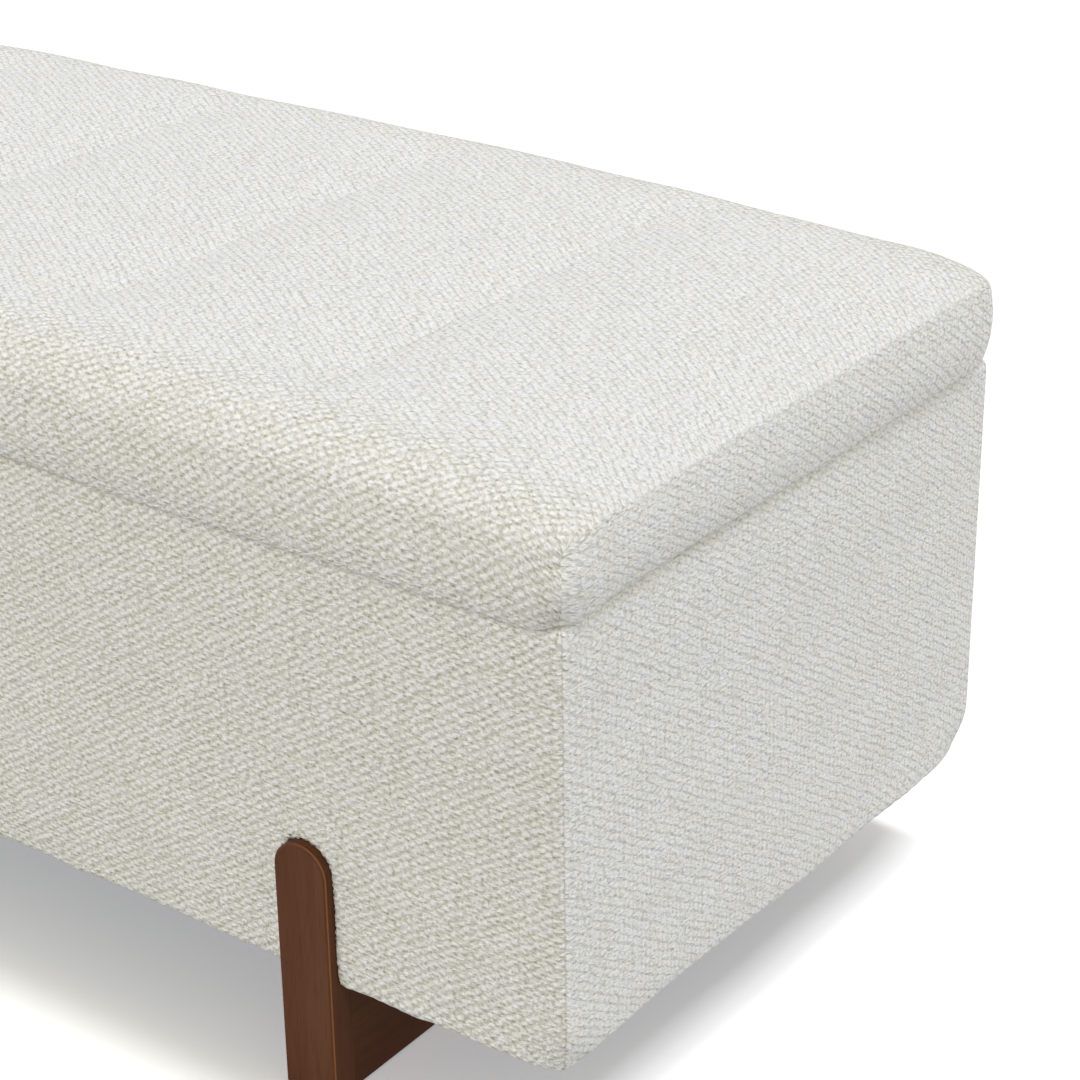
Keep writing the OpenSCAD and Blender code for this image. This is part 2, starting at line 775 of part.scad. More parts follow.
// Places children on the box pivot with +X pointing from the end wall into the box
module at_box_pivot(side) {
    mirror([side > 0 ? 1 : 0, 0, 0]) translate([-bracket_face_x, box_pivot[0], box_pivot[1]]) children();
}

// Places children on the lid pivot with +X pointing from the lid bracket to the end wall
module at_lid_pivot(side) {
    mirror([side > 0 ? 0 : 1, 0, 0]) translate([ear_x - clip_gap, lid_pivot[0], lid_pivot[1]]) children();
}

// Plate on the end wall with round ends, and the pin that the tube's eye turns on
module box_bracket(side) {
    color(steel) difference() {
        at_box_pivot(side) {
            translate([-bracket_t, 0, 0]) rotate([90, 0, 90]) linear_extrude(bracket_t) {
                square([bracket_w, bracket_h - bracket_w], center = true);
                for (end = [-0.5, 0.5])
                    translate([0, end * (bracket_h - bracket_w)]) circle(bracket_w / 2);
            }
            pivot_pin(box_collar_l);
        }
        at_box_bracket_screws() wood_screw_hole(bracket_t + lining_t + screw_bite);
    }
}

// Flange under the lid board, with a round-ended ear and the pin that the rod's eye turns on
module lid_bracket(side) {
    ear_h = lid_pivot_drop + fabric_t - lining_t;
    color(steel) difference() {
        at_lid_pivot(side) {
            translate([-bracket_t, 0, 0]) rotate([90, 0, 90]) linear_extrude(bracket_t) {
                translate([-bracket_w / 2, 0]) square([bracket_w, ear_h]);
                circle(bracket_w / 2);
            }
            translate([-bracket_t - flange_w, -flange_d / 2, ear_h - bracket_t])
                cube([flange_w + bracket_t, flange_d, bracket_t]);
            pivot_pin(lid_collar_l);
        }
        at_lid_bracket_screws() wood_screw_hole(bracket_t + lining_t + screw_bite);
    }
}

module box_bracket_screws() {
    color(steel) at_box_bracket_screws() wood_screw(bracket_t + lining_t + screw_bite);
}

module lid_bracket_screws() {
    color(steel) at_lid_bracket_screws() wood_screw(bracket_t + lining_t + screw_bite);
}

module box_pivot_clips() {
    color(black) for (side = [-1, 1]) at_box_pivot(side) pivot_clip(box_collar_l);
}

module lid_pivot_clips() {
    color(black) for (side = [-1, 1]) at_lid_pivot(side) pivot_clip(lid_collar_l);
}

// ---- Lid ----

// Radius of the arc that rises by rise over a chord of length chord
function arc_r(chord, rise) = (chord * chord / 4 + rise * rise) / (2 * rise);

// Outline of a profile over its round lower edges. It runs past the lid's sides, which the
// lid's plan alone cuts off
module soft_foot(w, inset) {
    r = lid_edge_r + past - inset;
    foot_x = w / 2 + past - inset - r;
    translate([-foot_x, inset]) square([2 * foot_x, r]);
    translate([-foot_x - r, inset + r]) square([2 * (foot_x + r), lid_crown - inset - r]);
    for (x = [-1, 1]) translate([x * foot_x, inset + r]) circle(r);
}

// Lid seen from the front: one shallow arch per channel, falling to the boxing at each end
module lid_front_profile(inset) {
    arch = arc_r(channel_w, channel_dip);
    fall_r = arc_r(2 * end_fall_w, lid_crown - lid_side_h);
    fall_x = lid_w / 2 - end_fall_w;
    intersection() {
        union() {
            for (i = [0 : channels - 1]) translate([i * channel_w - lid_w / 2, 0]) intersection() {
                square([channel_w, lid_crown]);
                translate([channel_w / 2, lid_crown - arch]) circle(arch - inset, $fn = wide_fn);
            }
        }
        union() {
            square([2 * fall_x, 2 * lid_crown], center = true);
            for (end = [0, 1]) mirror([end, 0]) translate([fall_x, 0]) intersection() {
                square([end_fall_w + 2 * past, lid_crown]);
                translate([0, lid_crown - fall_r]) circle(fall_r - inset, $fn = wide_fn);
            }
        }
        soft_foot(lid_w, inset);
    }
}

// Lid seen from the end: a low crown with round shoulders at the front and back
module lid_end_profile(inset) {
    crown = arc_r(lid_d, depth_fall);
    shoulder_y = lid_d / 2 - shoulder_r;
    shoulder_z = lid_crown - crown + sqrt(crown * crown - shoulder_y * shoulder_y) - shoulder_r;
    intersection() {
        translate([0, lid_crown - crown]) circle(crown - inset, $fn = wide_fn);
        soft_foot(lid_d, inset);
        union() {
            square([lid_d + 4 * past, 2 * shoulder_z], center = true);
            square([2 * shoulder_y, 2 * lid_crown], center = true);
            for (y = [-1, 1]) translate([y * shoulder_y, shoulder_z]) circle(shoulder_r - inset);
        }
    }
}

// The whole upholstered form of the lid, drawn in by inset on every side
module lid_form(inset) {
    half_w = lid_w / 2 + past;
    half_d = lid_d / 2 + past;
    translate([0, lid_y, lid_z]) intersection() {
        linear_extrude(lid_crown) round_rect(lid_w - 2 * inset, lid_d - 2 * inset, lid_corner_r - inset);
        translate([0, half_d, 0]) rotate([90, 0, 0]) linear_extrude(2 * half_d) lid_front_profile(inset);
        translate([-half_w, 0, 0]) rotate([90, 0, 90]) linear_extrude(2 * half_w) lid_end_profile(inset);
    }
}

// Underside of the lid inside the turned-in cover
module lid_opening(z, h) {
    translate([0, lid_y, z]) linear_extrude(h)
        square([lid_w - 2 * lid_hem_w, lid_d - 2 * lid_hem_w], center = true);
}

module board_form() {
    translate([0, lid_y, board_z]) linear_extrude(board_t)
        round_rect(lid_w - 2 * padding_t, lid_d - 2 * padding_t, lid_corner_r - padding_t);
}

module lid_board() {
    color(plywood) difference() {
        board_form();
        at_leaf_screws(-1) leaf_screw_hole();
        at_batten_screws() wood_screw_hole(batten_t + lining_t + screw_bite);
        at_lid_bracket_screws() wood_screw_hole(bracket_t + lining_t + screw_bite);
    }
}

module lid_battens() {
    color(plywood) difference() {
        for (batten = [-1 : 1])
            translate([batten * batten_pitch - batten_w / 2, -batten_d / 2, board_z - lining_t - batten_t])
                cube([batten_w, batten_d, batten_t]);
        at_batten_screws() wood_screw_hole(batten_t + lining_t + screw_bite);
    }
}

module batten_screws() {
    color(steel) at_batten_screws() wood_screw(batten_t + lining_t + screw_bite);
}

module lid_foam() {
    color(foam) difference() {
        lid_form(fabric_t);
        board_form();
    }
}

// Cover of the whole lid, turned in under the board
module lid_skin() {
    difference() {
        lid_form(0);
        lid_form(fabric_t);
        lid_opening(lid_z - past, fabric_t + 2 * past);
        at_leaf_screws(-1) leaf_screw_hole();
    }
}

// The part of the lid that the boxing strip covers at one end
module boxing_space(side) {
    translate([0, lid_y, lid_z - past]) rotate(90 * side) linear_extrude(lid_side_h + past)
        mitred_strip(lid_d, lid_w, lid_hem_w + lid_edge_r);
}

module lid_top_cover() {
    color(weave) difference() {
        lid_skin();
        for (side = [-1, 1]) boxing_space(side);
    }
}

module lid_boxing(side) {
    color(weave) intersection() {
        lid_skin();
        boxing_space(side);
    }
}

module lid_lining() {
    color(black) difference() {
        lid_opening(board_z - lining_t, lining_t);
        at_batten_screws() wood_screw_hole(batten_t + lining_t + screw_bite);
        at_lid_bracket_screws() wood_screw_hole(bracket_t + lining_t + screw_bite);
    }
}

// Rubber buttons under the lid that meet the rim of the box
module lid_bumpers() {
    rim_mid = (box_d + cavity_d) / 4;
    end_mid = (box_w + cavity_w) / 4;
    taper = 1;
    color(black) for (x = [-1, 1], place = [[box_w / 2 - bumper_inset, -rim_mid], [end_mid, 0]])
        translate([x * place[0], place[1], rim_z + bumper_gap])
            cylinder(r1 = bumper_r - taper, r2 = bumper_r, h = lid_gap - bumper_gap);
}

// ---- Nodes ----

long_panel(-1);  // front_panel
long_panel(1);  // back_panel
end_panel(-1);  // left_end_panel
end_panel(1);  // right_end_panel
bottom_panel();
corner_blocks();
bottom_cleats();
wall_screws();
box_foam(0);  // front_foam
box_foam(1);  // right_foam
box_foam(2);  // back_foam
box_foam(3);  // left_foam
box_cover(0);  // front_cover
box_cover(1);  // right_cover
box_cover(2);  // back_cover
box_cover(3);  // left_cover
dust_cover();
box_lining();
runner(-1);  // left_runner
runner(1);  // right_runner
post(-1, -1);  // front_left_post
post(1, -1);  // front_right_post
post(-1, 1);  // back_left_post
post(1, 1);  // back_right_post
leg_dowels();
leg_inserts();
leg_bolts();
floor_pads();
hinge_leaves(1);  // box_hinge_leaves
hinge_pins();
leaf_screws(1);  // box_leaf_screws
box_bracket(-1);  // left_box_bracket
box_bracket(1);  // right_box_bracket
box_bracket_screws();
box_pivot_clips();
strut_tube(-1);  // left_strut_tube
strut_tube_eye(-1);  // left_strut_tube_eye
strut_guide(-1);  // left_strut_guide
strut_rod(-1);  // left_strut_rod
strut_rod_eye(-1);  // left_strut_rod_eye
strut_tube(1);  // right_strut_tube
strut_tube_eye(1);  // right_strut_tube_eye
strut_guide(1);  // right_strut_guide
strut_rod(1);  // right_strut_rod
strut_rod_eye(1);  // right_strut_rod_eye
lid_board();
lid_battens();
batten_screws();
lid_foam();
lid_top_cover();
lid_boxing(-1);  // lid_left_boxing
lid_boxing(1);  // lid_right_boxing
lid_lining();
lid_bumpers();
hinge_leaves(-1);  // lid_hinge_leaves
leaf_screws(-1);  // lid_leaf_screws
lid_bracket(-1);  // left_lid_bracket
lid_bracket(1);  // right_lid_bracket
lid_bracket_screws();
lid_pivot_clips();
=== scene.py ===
import bpy
import math
import numpy as np
from mathutils import Matrix, Vector


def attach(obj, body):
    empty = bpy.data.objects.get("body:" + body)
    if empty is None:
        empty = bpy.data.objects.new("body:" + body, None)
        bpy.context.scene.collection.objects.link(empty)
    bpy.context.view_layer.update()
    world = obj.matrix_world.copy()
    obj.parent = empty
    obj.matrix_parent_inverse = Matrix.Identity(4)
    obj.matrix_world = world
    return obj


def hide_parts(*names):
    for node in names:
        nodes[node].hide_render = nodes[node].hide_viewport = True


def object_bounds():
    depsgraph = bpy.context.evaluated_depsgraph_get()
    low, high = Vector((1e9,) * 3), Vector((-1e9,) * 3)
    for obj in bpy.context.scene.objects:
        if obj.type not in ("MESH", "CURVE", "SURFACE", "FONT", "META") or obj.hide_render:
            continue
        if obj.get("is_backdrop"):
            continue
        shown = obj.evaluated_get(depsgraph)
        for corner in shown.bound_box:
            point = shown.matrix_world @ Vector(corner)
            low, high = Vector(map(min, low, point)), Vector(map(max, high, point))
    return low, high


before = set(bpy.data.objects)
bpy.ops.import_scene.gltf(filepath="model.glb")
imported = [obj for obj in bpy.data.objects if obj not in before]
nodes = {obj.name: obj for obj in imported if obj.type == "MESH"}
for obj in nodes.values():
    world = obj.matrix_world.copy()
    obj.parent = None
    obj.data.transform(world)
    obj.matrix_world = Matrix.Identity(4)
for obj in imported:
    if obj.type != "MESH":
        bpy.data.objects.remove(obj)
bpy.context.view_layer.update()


# Carcass: four plywood walls glued and screwed to a plywood base, with
# triangular blocks up the corners and cleats along the base. The lid has
# its own board and three battens of the same sheet.
class Finish:
    """A shader socket that takes Python arithmetic, in the node tree of one finish."""

    def __init__(self, tree, socket=None):
        self.tree, self.socket = tree, socket

    def node(self, kind, settings=None, sockets=None, out=0):
        made = self.tree.nodes.new(kind)
        for name, value in (settings or {}).items():
            if name == "stops":
                ramp = made.color_ramp
                while len(ramp.elements) < len(value):
                    ramp.elements.new(1)
                for element, (place, colour) in zip(ramp.elements, value):
                    element.position, element.color = place, colour
            else:
                setattr(made, name, value)
        for name, value in (sockets or {}).items():
            if isinstance(value, Finish):
                self.tree.links.new(value.socket, made.inputs[name])
            else:
                made.inputs[name].default_value = value
        return Finish(self.tree, made.outputs[out])

    def maths(self, operation, *values):
        return self.node("ShaderNodeMath", {"operation": operation}, dict(enumerate(values)))

    def __add__(self, other):
        return self.maths("ADD", self, other)

    def __radd__(self, other):
        return self.maths("ADD", other, self)

    def __sub__(self, other):
        return self.maths("SUBTRACT", self, other)

    def __rsub__(self, other):
        return self.maths("SUBTRACT", other, self)

    def __mul__(self, other):
        return self.maths("MULTIPLY", self, other)

    def __rmul__(self, other):
        return self.maths("MULTIPLY", other, self)

    def __truediv__(self, other):
        return self.maths("DIVIDE", self, other)


def start_finish(name):
    """A new finish with nothing in its tree but the output."""
    material = bpy.data.materials.new(name)
    material.use_nodes = True
    tree = material.node_tree
    tree.nodes.clear()
    return material, Finish(tree)


def close_finish(material, shader):
    tree = shader.tree
    out = tree.nodes.new("ShaderNodeOutputMaterial")
    tree.links.new(shader.socket, out.inputs["Surface"])
    return material


def linear(red, green, blue):
    """A colour given in the 0-255 numbers of a colour chart, as the shader wants it."""
    chart = (red, green, blue)
    return tuple(((c / 255 + 0.055) / 1.055) ** 2.4 if c > 10 else c / 3295 for c in chart) + (1.0,)


def two_tone(f, dark, light, amount):
    settings = {"data_type": "RGBA", "clamp_factor": True}
    return f.node("ShaderNodeMix", settings, {0: amount, 6: dark, 7: light}, out=2)


def scaled_place(f, x, y, z):
    """Object coordinates in metres, each axis multiplied, as a vector for a texture."""
    place = f.node("ShaderNodeTexCoord", out="Object")
    return f.node("ShaderNodeVectorMath", {"operation": "MULTIPLY"}, {0: place, 1: (x, y, z)})


def noise(f, place, scale, detail=2.0, roughness=0.5, distortion=0.0):
    return f.node(
        "ShaderNodeTexNoise",
        {"noise_dimensions": "3D"},
        {"Vector": place, "Scale": scale, "Detail": detail, "Roughness": roughness, "Distortion": distortion},
    )


def axis_of(f, vector, axis):
    return f.node("ShaderNodeSeparateXYZ", None, {0: vector}, out=axis)


def ramp(f, value, low, high):
    """0 below low, 1 above high, smooth between."""
    return f.node(
        "ShaderNodeMapRange",
        {"interpolation_type": "SMOOTHSTEP"},
        {"Value": value, "From Min": low, "From Max": high, "To Min": 0.0, "To Max": 1.0},
    )


def bumped(f, height, distance, strength=1.0):
    return f.node("ShaderNodeBump", None, {"Height": height, "Distance": distance, "Strength": strength})


def wear(material, *names):
    """Gives CAD nodes their finish."""
    for name in names:
        for place in nodes[name].material_slots:
            place.material = material


def plywood(name, grain, layers):
    """Birch ply: long grain on the faces, and a stripe for each veneer where an edge shows."""
    veneer = 0.00136
    material, f = start_finish(name)
    stretch = [60.0, 60.0, 60.0]
    stretch[grain] = 3.0
    figure = noise(f, scaled_place(f, *stretch), 1.0, 5.0, 0.6, 0.8)
    fine = noise(f, scaled_place(f, *(12 * s for s in stretch)), 1.0, 2.0)
    place = f.node("ShaderNodeTexCoord", out="Object")
    stripe = f.maths("PINGPONG", axis_of(f, place, layers) / veneer, 1.0)
    glue = ramp(f, stripe, 0.35, 0.65)
    face = two_tone(f, linear(196, 164, 120), linear(226, 200, 158), figure * 0.8 + fine * 0.2)
    colour = two_tone(f, linear(160, 120, 78), face, glue * 0.45 + 0.55)
    shader = f.node(
        "ShaderNodeBsdfPrincipled",
        None,
        {"Base Color": colour, "Roughness": 0.62, "Normal": bumped(f, fine, 0.0002, 0.5)},
    )
    return close_finish(material, shader)


wear(plywood("ply_lengthwise", 0, 1), "front_panel", "back_panel")
wear(plywood("ply_endwise", 1, 0), "left_end_panel", "right_end_panel")
wear(plywood("ply_flat", 0, 2), "bottom_panel", "bottom_cleats", "lid_board")
wear(plywood("ply_batten", 1, 2), "lid_battens")
wear(plywood("ply_block", 2, 0), "corner_blocks")


# Leg frames: two solid posts doweled to the ends of a runner, one frame at
# each end of the box, cut from beech and stained a dark walnut, with a low
# satin lacquer over the stain and the arrises eased by hand.
post_x, post_half = 0.4215, 0.020
arch_z = 0.158
post_face = 0.2478
arris_w = 0.0008


def stained_wood(name, grain, painted_arris_highlight):
    """Dark stained beech: soft vertical mottling, fine pores, and a painted highlight along the arrises,
    strongest on the right-hand ones.
    """
    material, f = start_finish(name)
    stretch = [120.0, 120.0, 120.0]
    stretch[grain] = 6.0
    figure = noise(f, scaled_place(f, *stretch), 1.0, 3.0, 0.55, 0.8)
    wide = noise(f, scaled_place(f, *(s / 5 for s in stretch)), 1.0, 2.0)
    pores = noise(f, scaled_place(f, *(7 * s for s in stretch)), 1.0, 1.0)
    pore = ramp(f, pores, 0.56, 0.7)
    tone = figure * 0.4 + wide * 0.6
    stain = two_tone(f, linear(78, 44, 26), linear(96, 61, 40), ramp(f, tone, 0.32, 0.68))
    colour = two_tone(f, stain, linear(58, 28, 14), pore * 0.3)
    # Painted highlight: a pale band along the eased arrises of the outer face and the arch. It is stronger on
    # the right-hand arris, where the light falls, and stands in for light catching the edge.
    if painted_arris_highlight:
        place = f.node("ShaderNodeTexCoord", out="Object")
        x, y, z = (axis_of(f, place, axis) for axis in range(3))
        beside = f.maths("ABSOLUTE", f.maths("ABSOLUTE", x) - post_x)
        over = f.maths("MAXIMUM", z - arch_z, 0.0)
        from_middle = f.maths("SQRT", beside * beside + over * over)
        outer = ramp(f, f.maths("ABSOLUTE", y), post_face - arris_w, post_face)
        lit_right_hand = ramp(f, x - f.maths("SIGN", x) * post_x, -0.012, 0.018)
        rubbed_and_highlit = ramp(f, from_middle, post_half - arris_w, post_half - arris_w / 4)
        arris_highlight = rubbed_and_highlit * outer * (lit_right_hand * 0.5 + 0.15)
        colour = two_tone(f, colour, linear(176, 116, 74), arris_highlight * (wide * 0.7 + 0.35))
    shader = f.node(
        "ShaderNodeBsdfPrincipled",
        None,
        {
            "Base Color": colour,
            "Roughness": figure * 0.12 + 0.42,
            "Specular IOR Level": 0.07,
            "Normal": bumped(f, tone - pore * 0.5, 0.0001, 0.5),
        },
    )
    return close_finish(material, shader)


post_finish = stained_wood("stained_post", 2, True)
wear(post_finish, "front_left_post", "front_right_post", "back_left_post", "back_right_post")
wear(stained_wood("stained_runner", 1, False), "left_runner", "right_runner")


# Leg fixings: beech dowels glued between post and runner, brass inserts
# screwed into the wood, plated bolts through the box into them, and a felt
# pad stuck under each end of a frame. The walls' screws are plated too.
def plain_wood(name, dark, light):
    material, f = start_finish(name)
    figure = noise(f, scaled_place(f, 200.0, 12.0, 200.0), 1.0, 3.0)
    shader = f.node(
        "ShaderNodeBsdfPrincipled", None, {"Base Color": two_tone(f, dark, light, figure), "Roughness": 0.6}
    )
    return close_finish(material, shader)


def metal(name, dark, light, roughness, metallic=1.0):
    """Turned or pressed metal: faint brushed streaks and a little handling wear."""
    material, f = start_finish(name)
    brushed = noise(f, scaled_place(f, 900.0, 900.0, 90.0), 1.0, 3.0)
    smear = noise(f, scaled_place(f, 45.0, 45.0, 45.0), 1.0, 2.0)
    shader = f.node(
        "ShaderNodeBsdfPrincipled",
        None,
        {
            "Base Color": two_tone(f, dark, light, smear * 0.6 + brushed * 0.4),
            "Metallic": metallic,
            "Roughness": smear * 0.15 + (roughness - 0.07),
            "Normal": bumped(f, brushed, 0.00005, 0.4),
        },
    )
    return close_finish(material, shader)


def pressed_felt(name, dark, light):
    material, f = start_finish(name)
    hair = noise(f, scaled_place(f, 900.0, 900.0, 900.0), 1.0, 4.0, 0.7, 1.5)
    shader = f.node(
        "ShaderNodeBsdfPrincipled",
        None,
        {"Base Color": two_tone(f, dark, light, hair), "Roughness": 0.95, "Normal": bumped(f, hair, 0.0005)},
    )
    return close_finish(material, shader)


plated = metal("zinc_plated", linear(148, 150, 152), linear(196, 198, 200), 0.34)
wear(plain_wood("beech_dowel", linear(190, 152, 108), linear(220, 186, 142)), "leg_dowels")
wear(metal("turned_brass", linear(150, 116, 52), linear(196, 160, 86), 0.32), "leg_inserts")
wear(plated, "leg_bolts", "wall_screws")
wear(pressed_felt("grey_felt", linear(66, 62, 58), linear(104, 98, 92)), "floor_pads")


# Box cover: four cream basket-weave panels, each over thin foam, sewn to
# each other down the corners. The cloth folds under the base and over the
# rim, where it is stapled, and is cut back round each post.
def spread(*marks):
    """Rows or columns of a blank: (from, to, how many steps) for each stretch, joined."""
    places = [marks[0][0]]
    for low, high, steps in marks:
        places += [low + (high - low) * (k + 1) / steps for k in range(steps)]
    return np.array(places)


def cut_blank(name, us, vs):
    """A flat blank of cloth with threads at us and vs, and the two numbers of each of its points."""
    bpy.ops.object.select_all(action="DESELECT")
    bpy.ops.mesh.primitive_grid_add(x_subdivisions=len(us) - 1, y_subdivisions=len(vs) - 1, size=1.0)
    blank = bpy.context.object
    blank.name = name
    flat = np.array([v.co for v in blank.data.vertices])
    column = np.rint((flat[:, 0] + 0.5) * (len(us) - 1)).astype(int)
    row = np.rint((flat[:, 1] + 0.5) * (len(vs) - 1)).astype(int)
    return blank, column, row


def put(piece, places):
    piece.data.vertices.foreach_set("co", np.asarray(places, np.float32).ravel())
    piece.data.update()


def places_of(piece):
    got = np.empty(len(piece.data.vertices) * 3, np.float32)
    piece.data.vertices.foreach_get("co", got)
    return got.reshape(-1, 3).astype(float)


def face_corners(piece):
    """The point that each face corner stands on."""
    corners = np.empty(len(piece.data.loops), np.int32)
    piece.data.loops.foreach_get("vertex_index", corners)
    return corners


def point_value(piece, name, values):
    """Keeps one number for each point, for the cloth's finish to read."""
    kept = piece.data.attributes.new(name, "FLOAT", "POINT")
    kept.data.foreach_set("value", np.asarray(values, np.float32))


def thread_map(piece, corner_uv, lean):
    """Keeps where each face corner was on the flat cloth, in metres, and which way its ribs lean, which also
    says whether it takes the front-facing look with painted shade in its ground.
    """
    while piece.data.uv_layers:
        piece.data.uv_layers.remove(piece.data.uv_layers[0])
    threads = piece.data.uv_layers.new(name="weave")
    threads.data.foreach_set("uv", corner_uv.astype(np.float32).ravel())
    point_value(piece, "lean", lean)


def only(piece):
    bpy.ops.object.select_all(action="DESELECT")
    piece.select_set(True)
    bpy.context.view_layer.objects.active = piece


def use(piece, kind, **settings):
    """Adds one modifier and applies it."""
    only(piece)
    made = piece.modifiers.new(kind.lower(), kind)
    for name, value in settings.items():
        setattr(made, name, value)
    bpy.ops.object.modifier_apply(modifier=made.name)


def face_outward(piece, close_ends=False):
    """Turns every face outward, first closing the open ends where asked."""
    only(piece)
    bpy.ops.object.mode_set(mode="EDIT")
    if close_ends:
        bpy.ops.mesh.select_all(action="DESELECT")
        bpy.ops.mesh.select_non_manifold()
        bpy.ops.mesh.edge_face_add()
    bpy.ops.mesh.select_all(action="SELECT")
    bpy.ops.mesh.normals_make_consistent(inside=False)
    bpy.ops.object.mode_set(mode="OBJECT")


def smooth_blob(places, scale, seed):
    """Slow random waves from sines, the same on every run, between about -1 and 1."""
    draw = np.random.default_rng(seed)
    total = np.zeros(len(places))
    for _ in range(10):
        way = draw.normal(size=3) * 2 * math.pi / scale
        total += np.sin(places @ way + draw.uniform(0, 2 * math.pi))
    return total / math.sqrt(10)


def fill_out(piece, held, pressure, cap, steps=20):
    """Lets the foam fill the cover: a short cloth run under pressure, held at its seams and folds."""
    before = places_of(piece)
    group = piece.vertex_groups.new(name="held")
    for index, weight in enumerate(held):
        if weight > 0.01:
            group.add([index], float(weight), "REPLACE")
    cloth = piece.modifiers.new("cloth", "CLOTH")
    cloth.settings.quality = 6
    cloth.settings.mass = 0.3
    cloth.settings.tension_stiffness = 25
    cloth.settings.compression_stiffness = 25
    cloth.settings.shear_stiffness = 12
    cloth.settings.bending_stiffness = 2
    cloth.settings.vertex_group_mass = "held"
    cloth.settings.use_pressure = True
    cloth.settings.uniform_pressure_force = pressure
    cloth.settings.effector_weights.gravity = 0
    cloth.collision_settings.use_collision = False
    cloth.point_cache.frame_start, cloth.point_cache.frame_end = 1, steps
    for step in range(1, steps + 1):
        bpy.context.scene.frame_set(step)
    shaped = piece.evaluated_get(bpy.context.evaluated_depsgraph_get())
    got = np.empty(len(before) * 3, np.float32)
    shaped.data.vertices.foreach_get("co", got)
    move = got.reshape(-1, 3) - before
    far = np.linalg.norm(move, axis=1, keepdims=True) + 1e-12
    move *= cap * np.tanh(far / cap) / far
    piece.modifiers.remove(cloth)
    piece.vertex_groups.remove(group)
    bpy.context.scene.frame_set(1)
    put(piece, before + move)


def basket_weave(name):
    """Thick boucle yarn: rounded floats in staggered rows, each its own shade, on a khaki ground that is
    partly the ground yarn and partly painted shade between the floats. On the front-facing look the floats
    stand out more, and the ground and the whole cloth are painted darker.
    """
    material, f = start_finish(name)
    flat = f.node("ShaderNodeUVMap", {"uv_map": "weave"})
    lean = f.node("ShaderNodeAttribute", {"attribute_name": "lean"}, out="Fac")
    seam = f.node("ShaderNodeAttribute", {"attribute_name": "seam"}, out="Fac")
    shifted = f.node("ShaderNodeVectorMath", {"operation": "ADD"}, {0: flat, 1: (3.7, 1.9, 5.1)})
    long_side_and_shade = lean * 0.5 + 0.5

    # How far the threads wander from true, in millimetres
    def wander(place):
        return (noise(f, place, 28.0, 2.0) - 0.5) * 4.0 + (noise(f, place, 230.0, 2.0) - 0.5) * 2.2

    # Staggered rows as a square lattice on two slants, one cell to a float
    rows_per_mm, floats_per_mm = 0.163, 0.106
    u = (axis_of(f, flat, 0) * 1000 + wander(flat)) * floats_per_mm
    v = (axis_of(f, flat, 1) * 1000 + wander(shifted) * 0.75) * rows_per_mm
    rise, fall = v - u, v + u
    middle = f.node(
        "ShaderNodeTexVoronoi",
        {"voronoi_dimensions": "2D", "feature": "F1"},
        {"Vector": f.node("ShaderNodeCombineXYZ", None, {0: rise, 1: fall}), "Scale": 1.0, "Randomness": 0.3},
        out="Position",
    )
    chance = Finish(f.tree, middle.socket.node.outputs["Color"])
    shade, size = axis_of(f, chance, 0), axis_of(f, chance, 1)
    # Each float: rounded on the long sides, squarer on the ends and the top
    across = f.maths("ABSOLUTE", rise - axis_of(f, middle, 0)) * (long_side_and_shade * 0.17 + 1.05)
    along = f.maths("ABSOLUTE", fall - axis_of(f, middle, 1)) * (1.38 - long_side_and_shade * 0.46)
    rounded = f.maths("SQRT", across * across + along * along)
    squared = f.maths("MAXIMUM", across, along)
    out_from_middle = (squared + (rounded - squared) * long_side_and_shade) * (size * 0.16 + 0.92)
    float_yarn = 1 - ramp(f, out_from_middle, 0.36 - long_side_and_shade * 0.26, 0.66)
    rows = f.maths("COSINE", (rise + fall) * (2 * math.pi))
    columns = f.maths("COSINE", (rise - fall) * (2 * math.pi))
    # Loose fibre: knots, patches, strands along the yarn and dark flecks
    knot = noise(f, shifted, 480.0, 3.0, 0.75, 0.4) - 0.5
    patch = noise(f, flat, 45.0, 3.0, 0.6) - 0.5
    lying = f.node("ShaderNodeVectorMath", {"operation": "MULTIPLY"}, {0: flat, 1: (0.5, 1.0, 1.0)})
    strand = noise(f, lying, 620.0, 2.0, 0.7) - 0.5
    fleck = 1 - ramp(f, noise(f, lying, 500.0, 1.0), 0.30, 0.40)
    loose = knot * 1.35 + strand * 1.3 + patch * 0.18 - fleck * 0.25
    # Painted shade: on the front-facing look the floats stand higher against the ground, in colour as well as
    # in the bump, as if shade filled the weave's hollows.
    height = float_yarn * (long_side_and_shade * 0.12 + 0.30)
    height = height + rows * (long_side_and_shade * 0.055 + 0.03) + columns * (0.045 - long_side_and_shade * 0.045)
    height = height + (shade - 0.5) * 0.05 + loose
    # Painted shade: the front-facing look is a little darker overall.
    tone = height + (0.52 - long_side_and_shade * 0.05)
    yarn = two_tone(f, linear(253, 251, 241), linear(252, 252, 249), shade)
    # The ground between the floats is partly the khaki ground yarn and partly painted shade in the hollows,
    # and darker still on the front-facing look.
    ground_and_pit_shade = two_tone(f, linear(182, 183, 175), linear(170, 168, 142), long_side_and_shade)
    colour = two_tone(f, ground_and_pit_shade, yarn, tone)
    # Painted shade along the seams: a darker dotted line, partly the stitches and partly shade in the pinched
    # crease.
    stitch = ramp(f, noise(f, flat, 420.0, 1.0), 0.42, 0.6)
    colour = two_tone(f, colour, linear(150, 144, 120), f.maths("POWER", seam, 2.2) * (stitch * 0.3 + 0.04))
    shader = f.node(
        "ShaderNodeBsdfPrincipled",
        None,
        {
            "Base Color": colour,
            "Roughness": 0.92,
            "Specular IOR Level": 0.15,
            "Normal": bumped(f, height, 0.0010),
        },
    )
    return close_finish(material, shader)


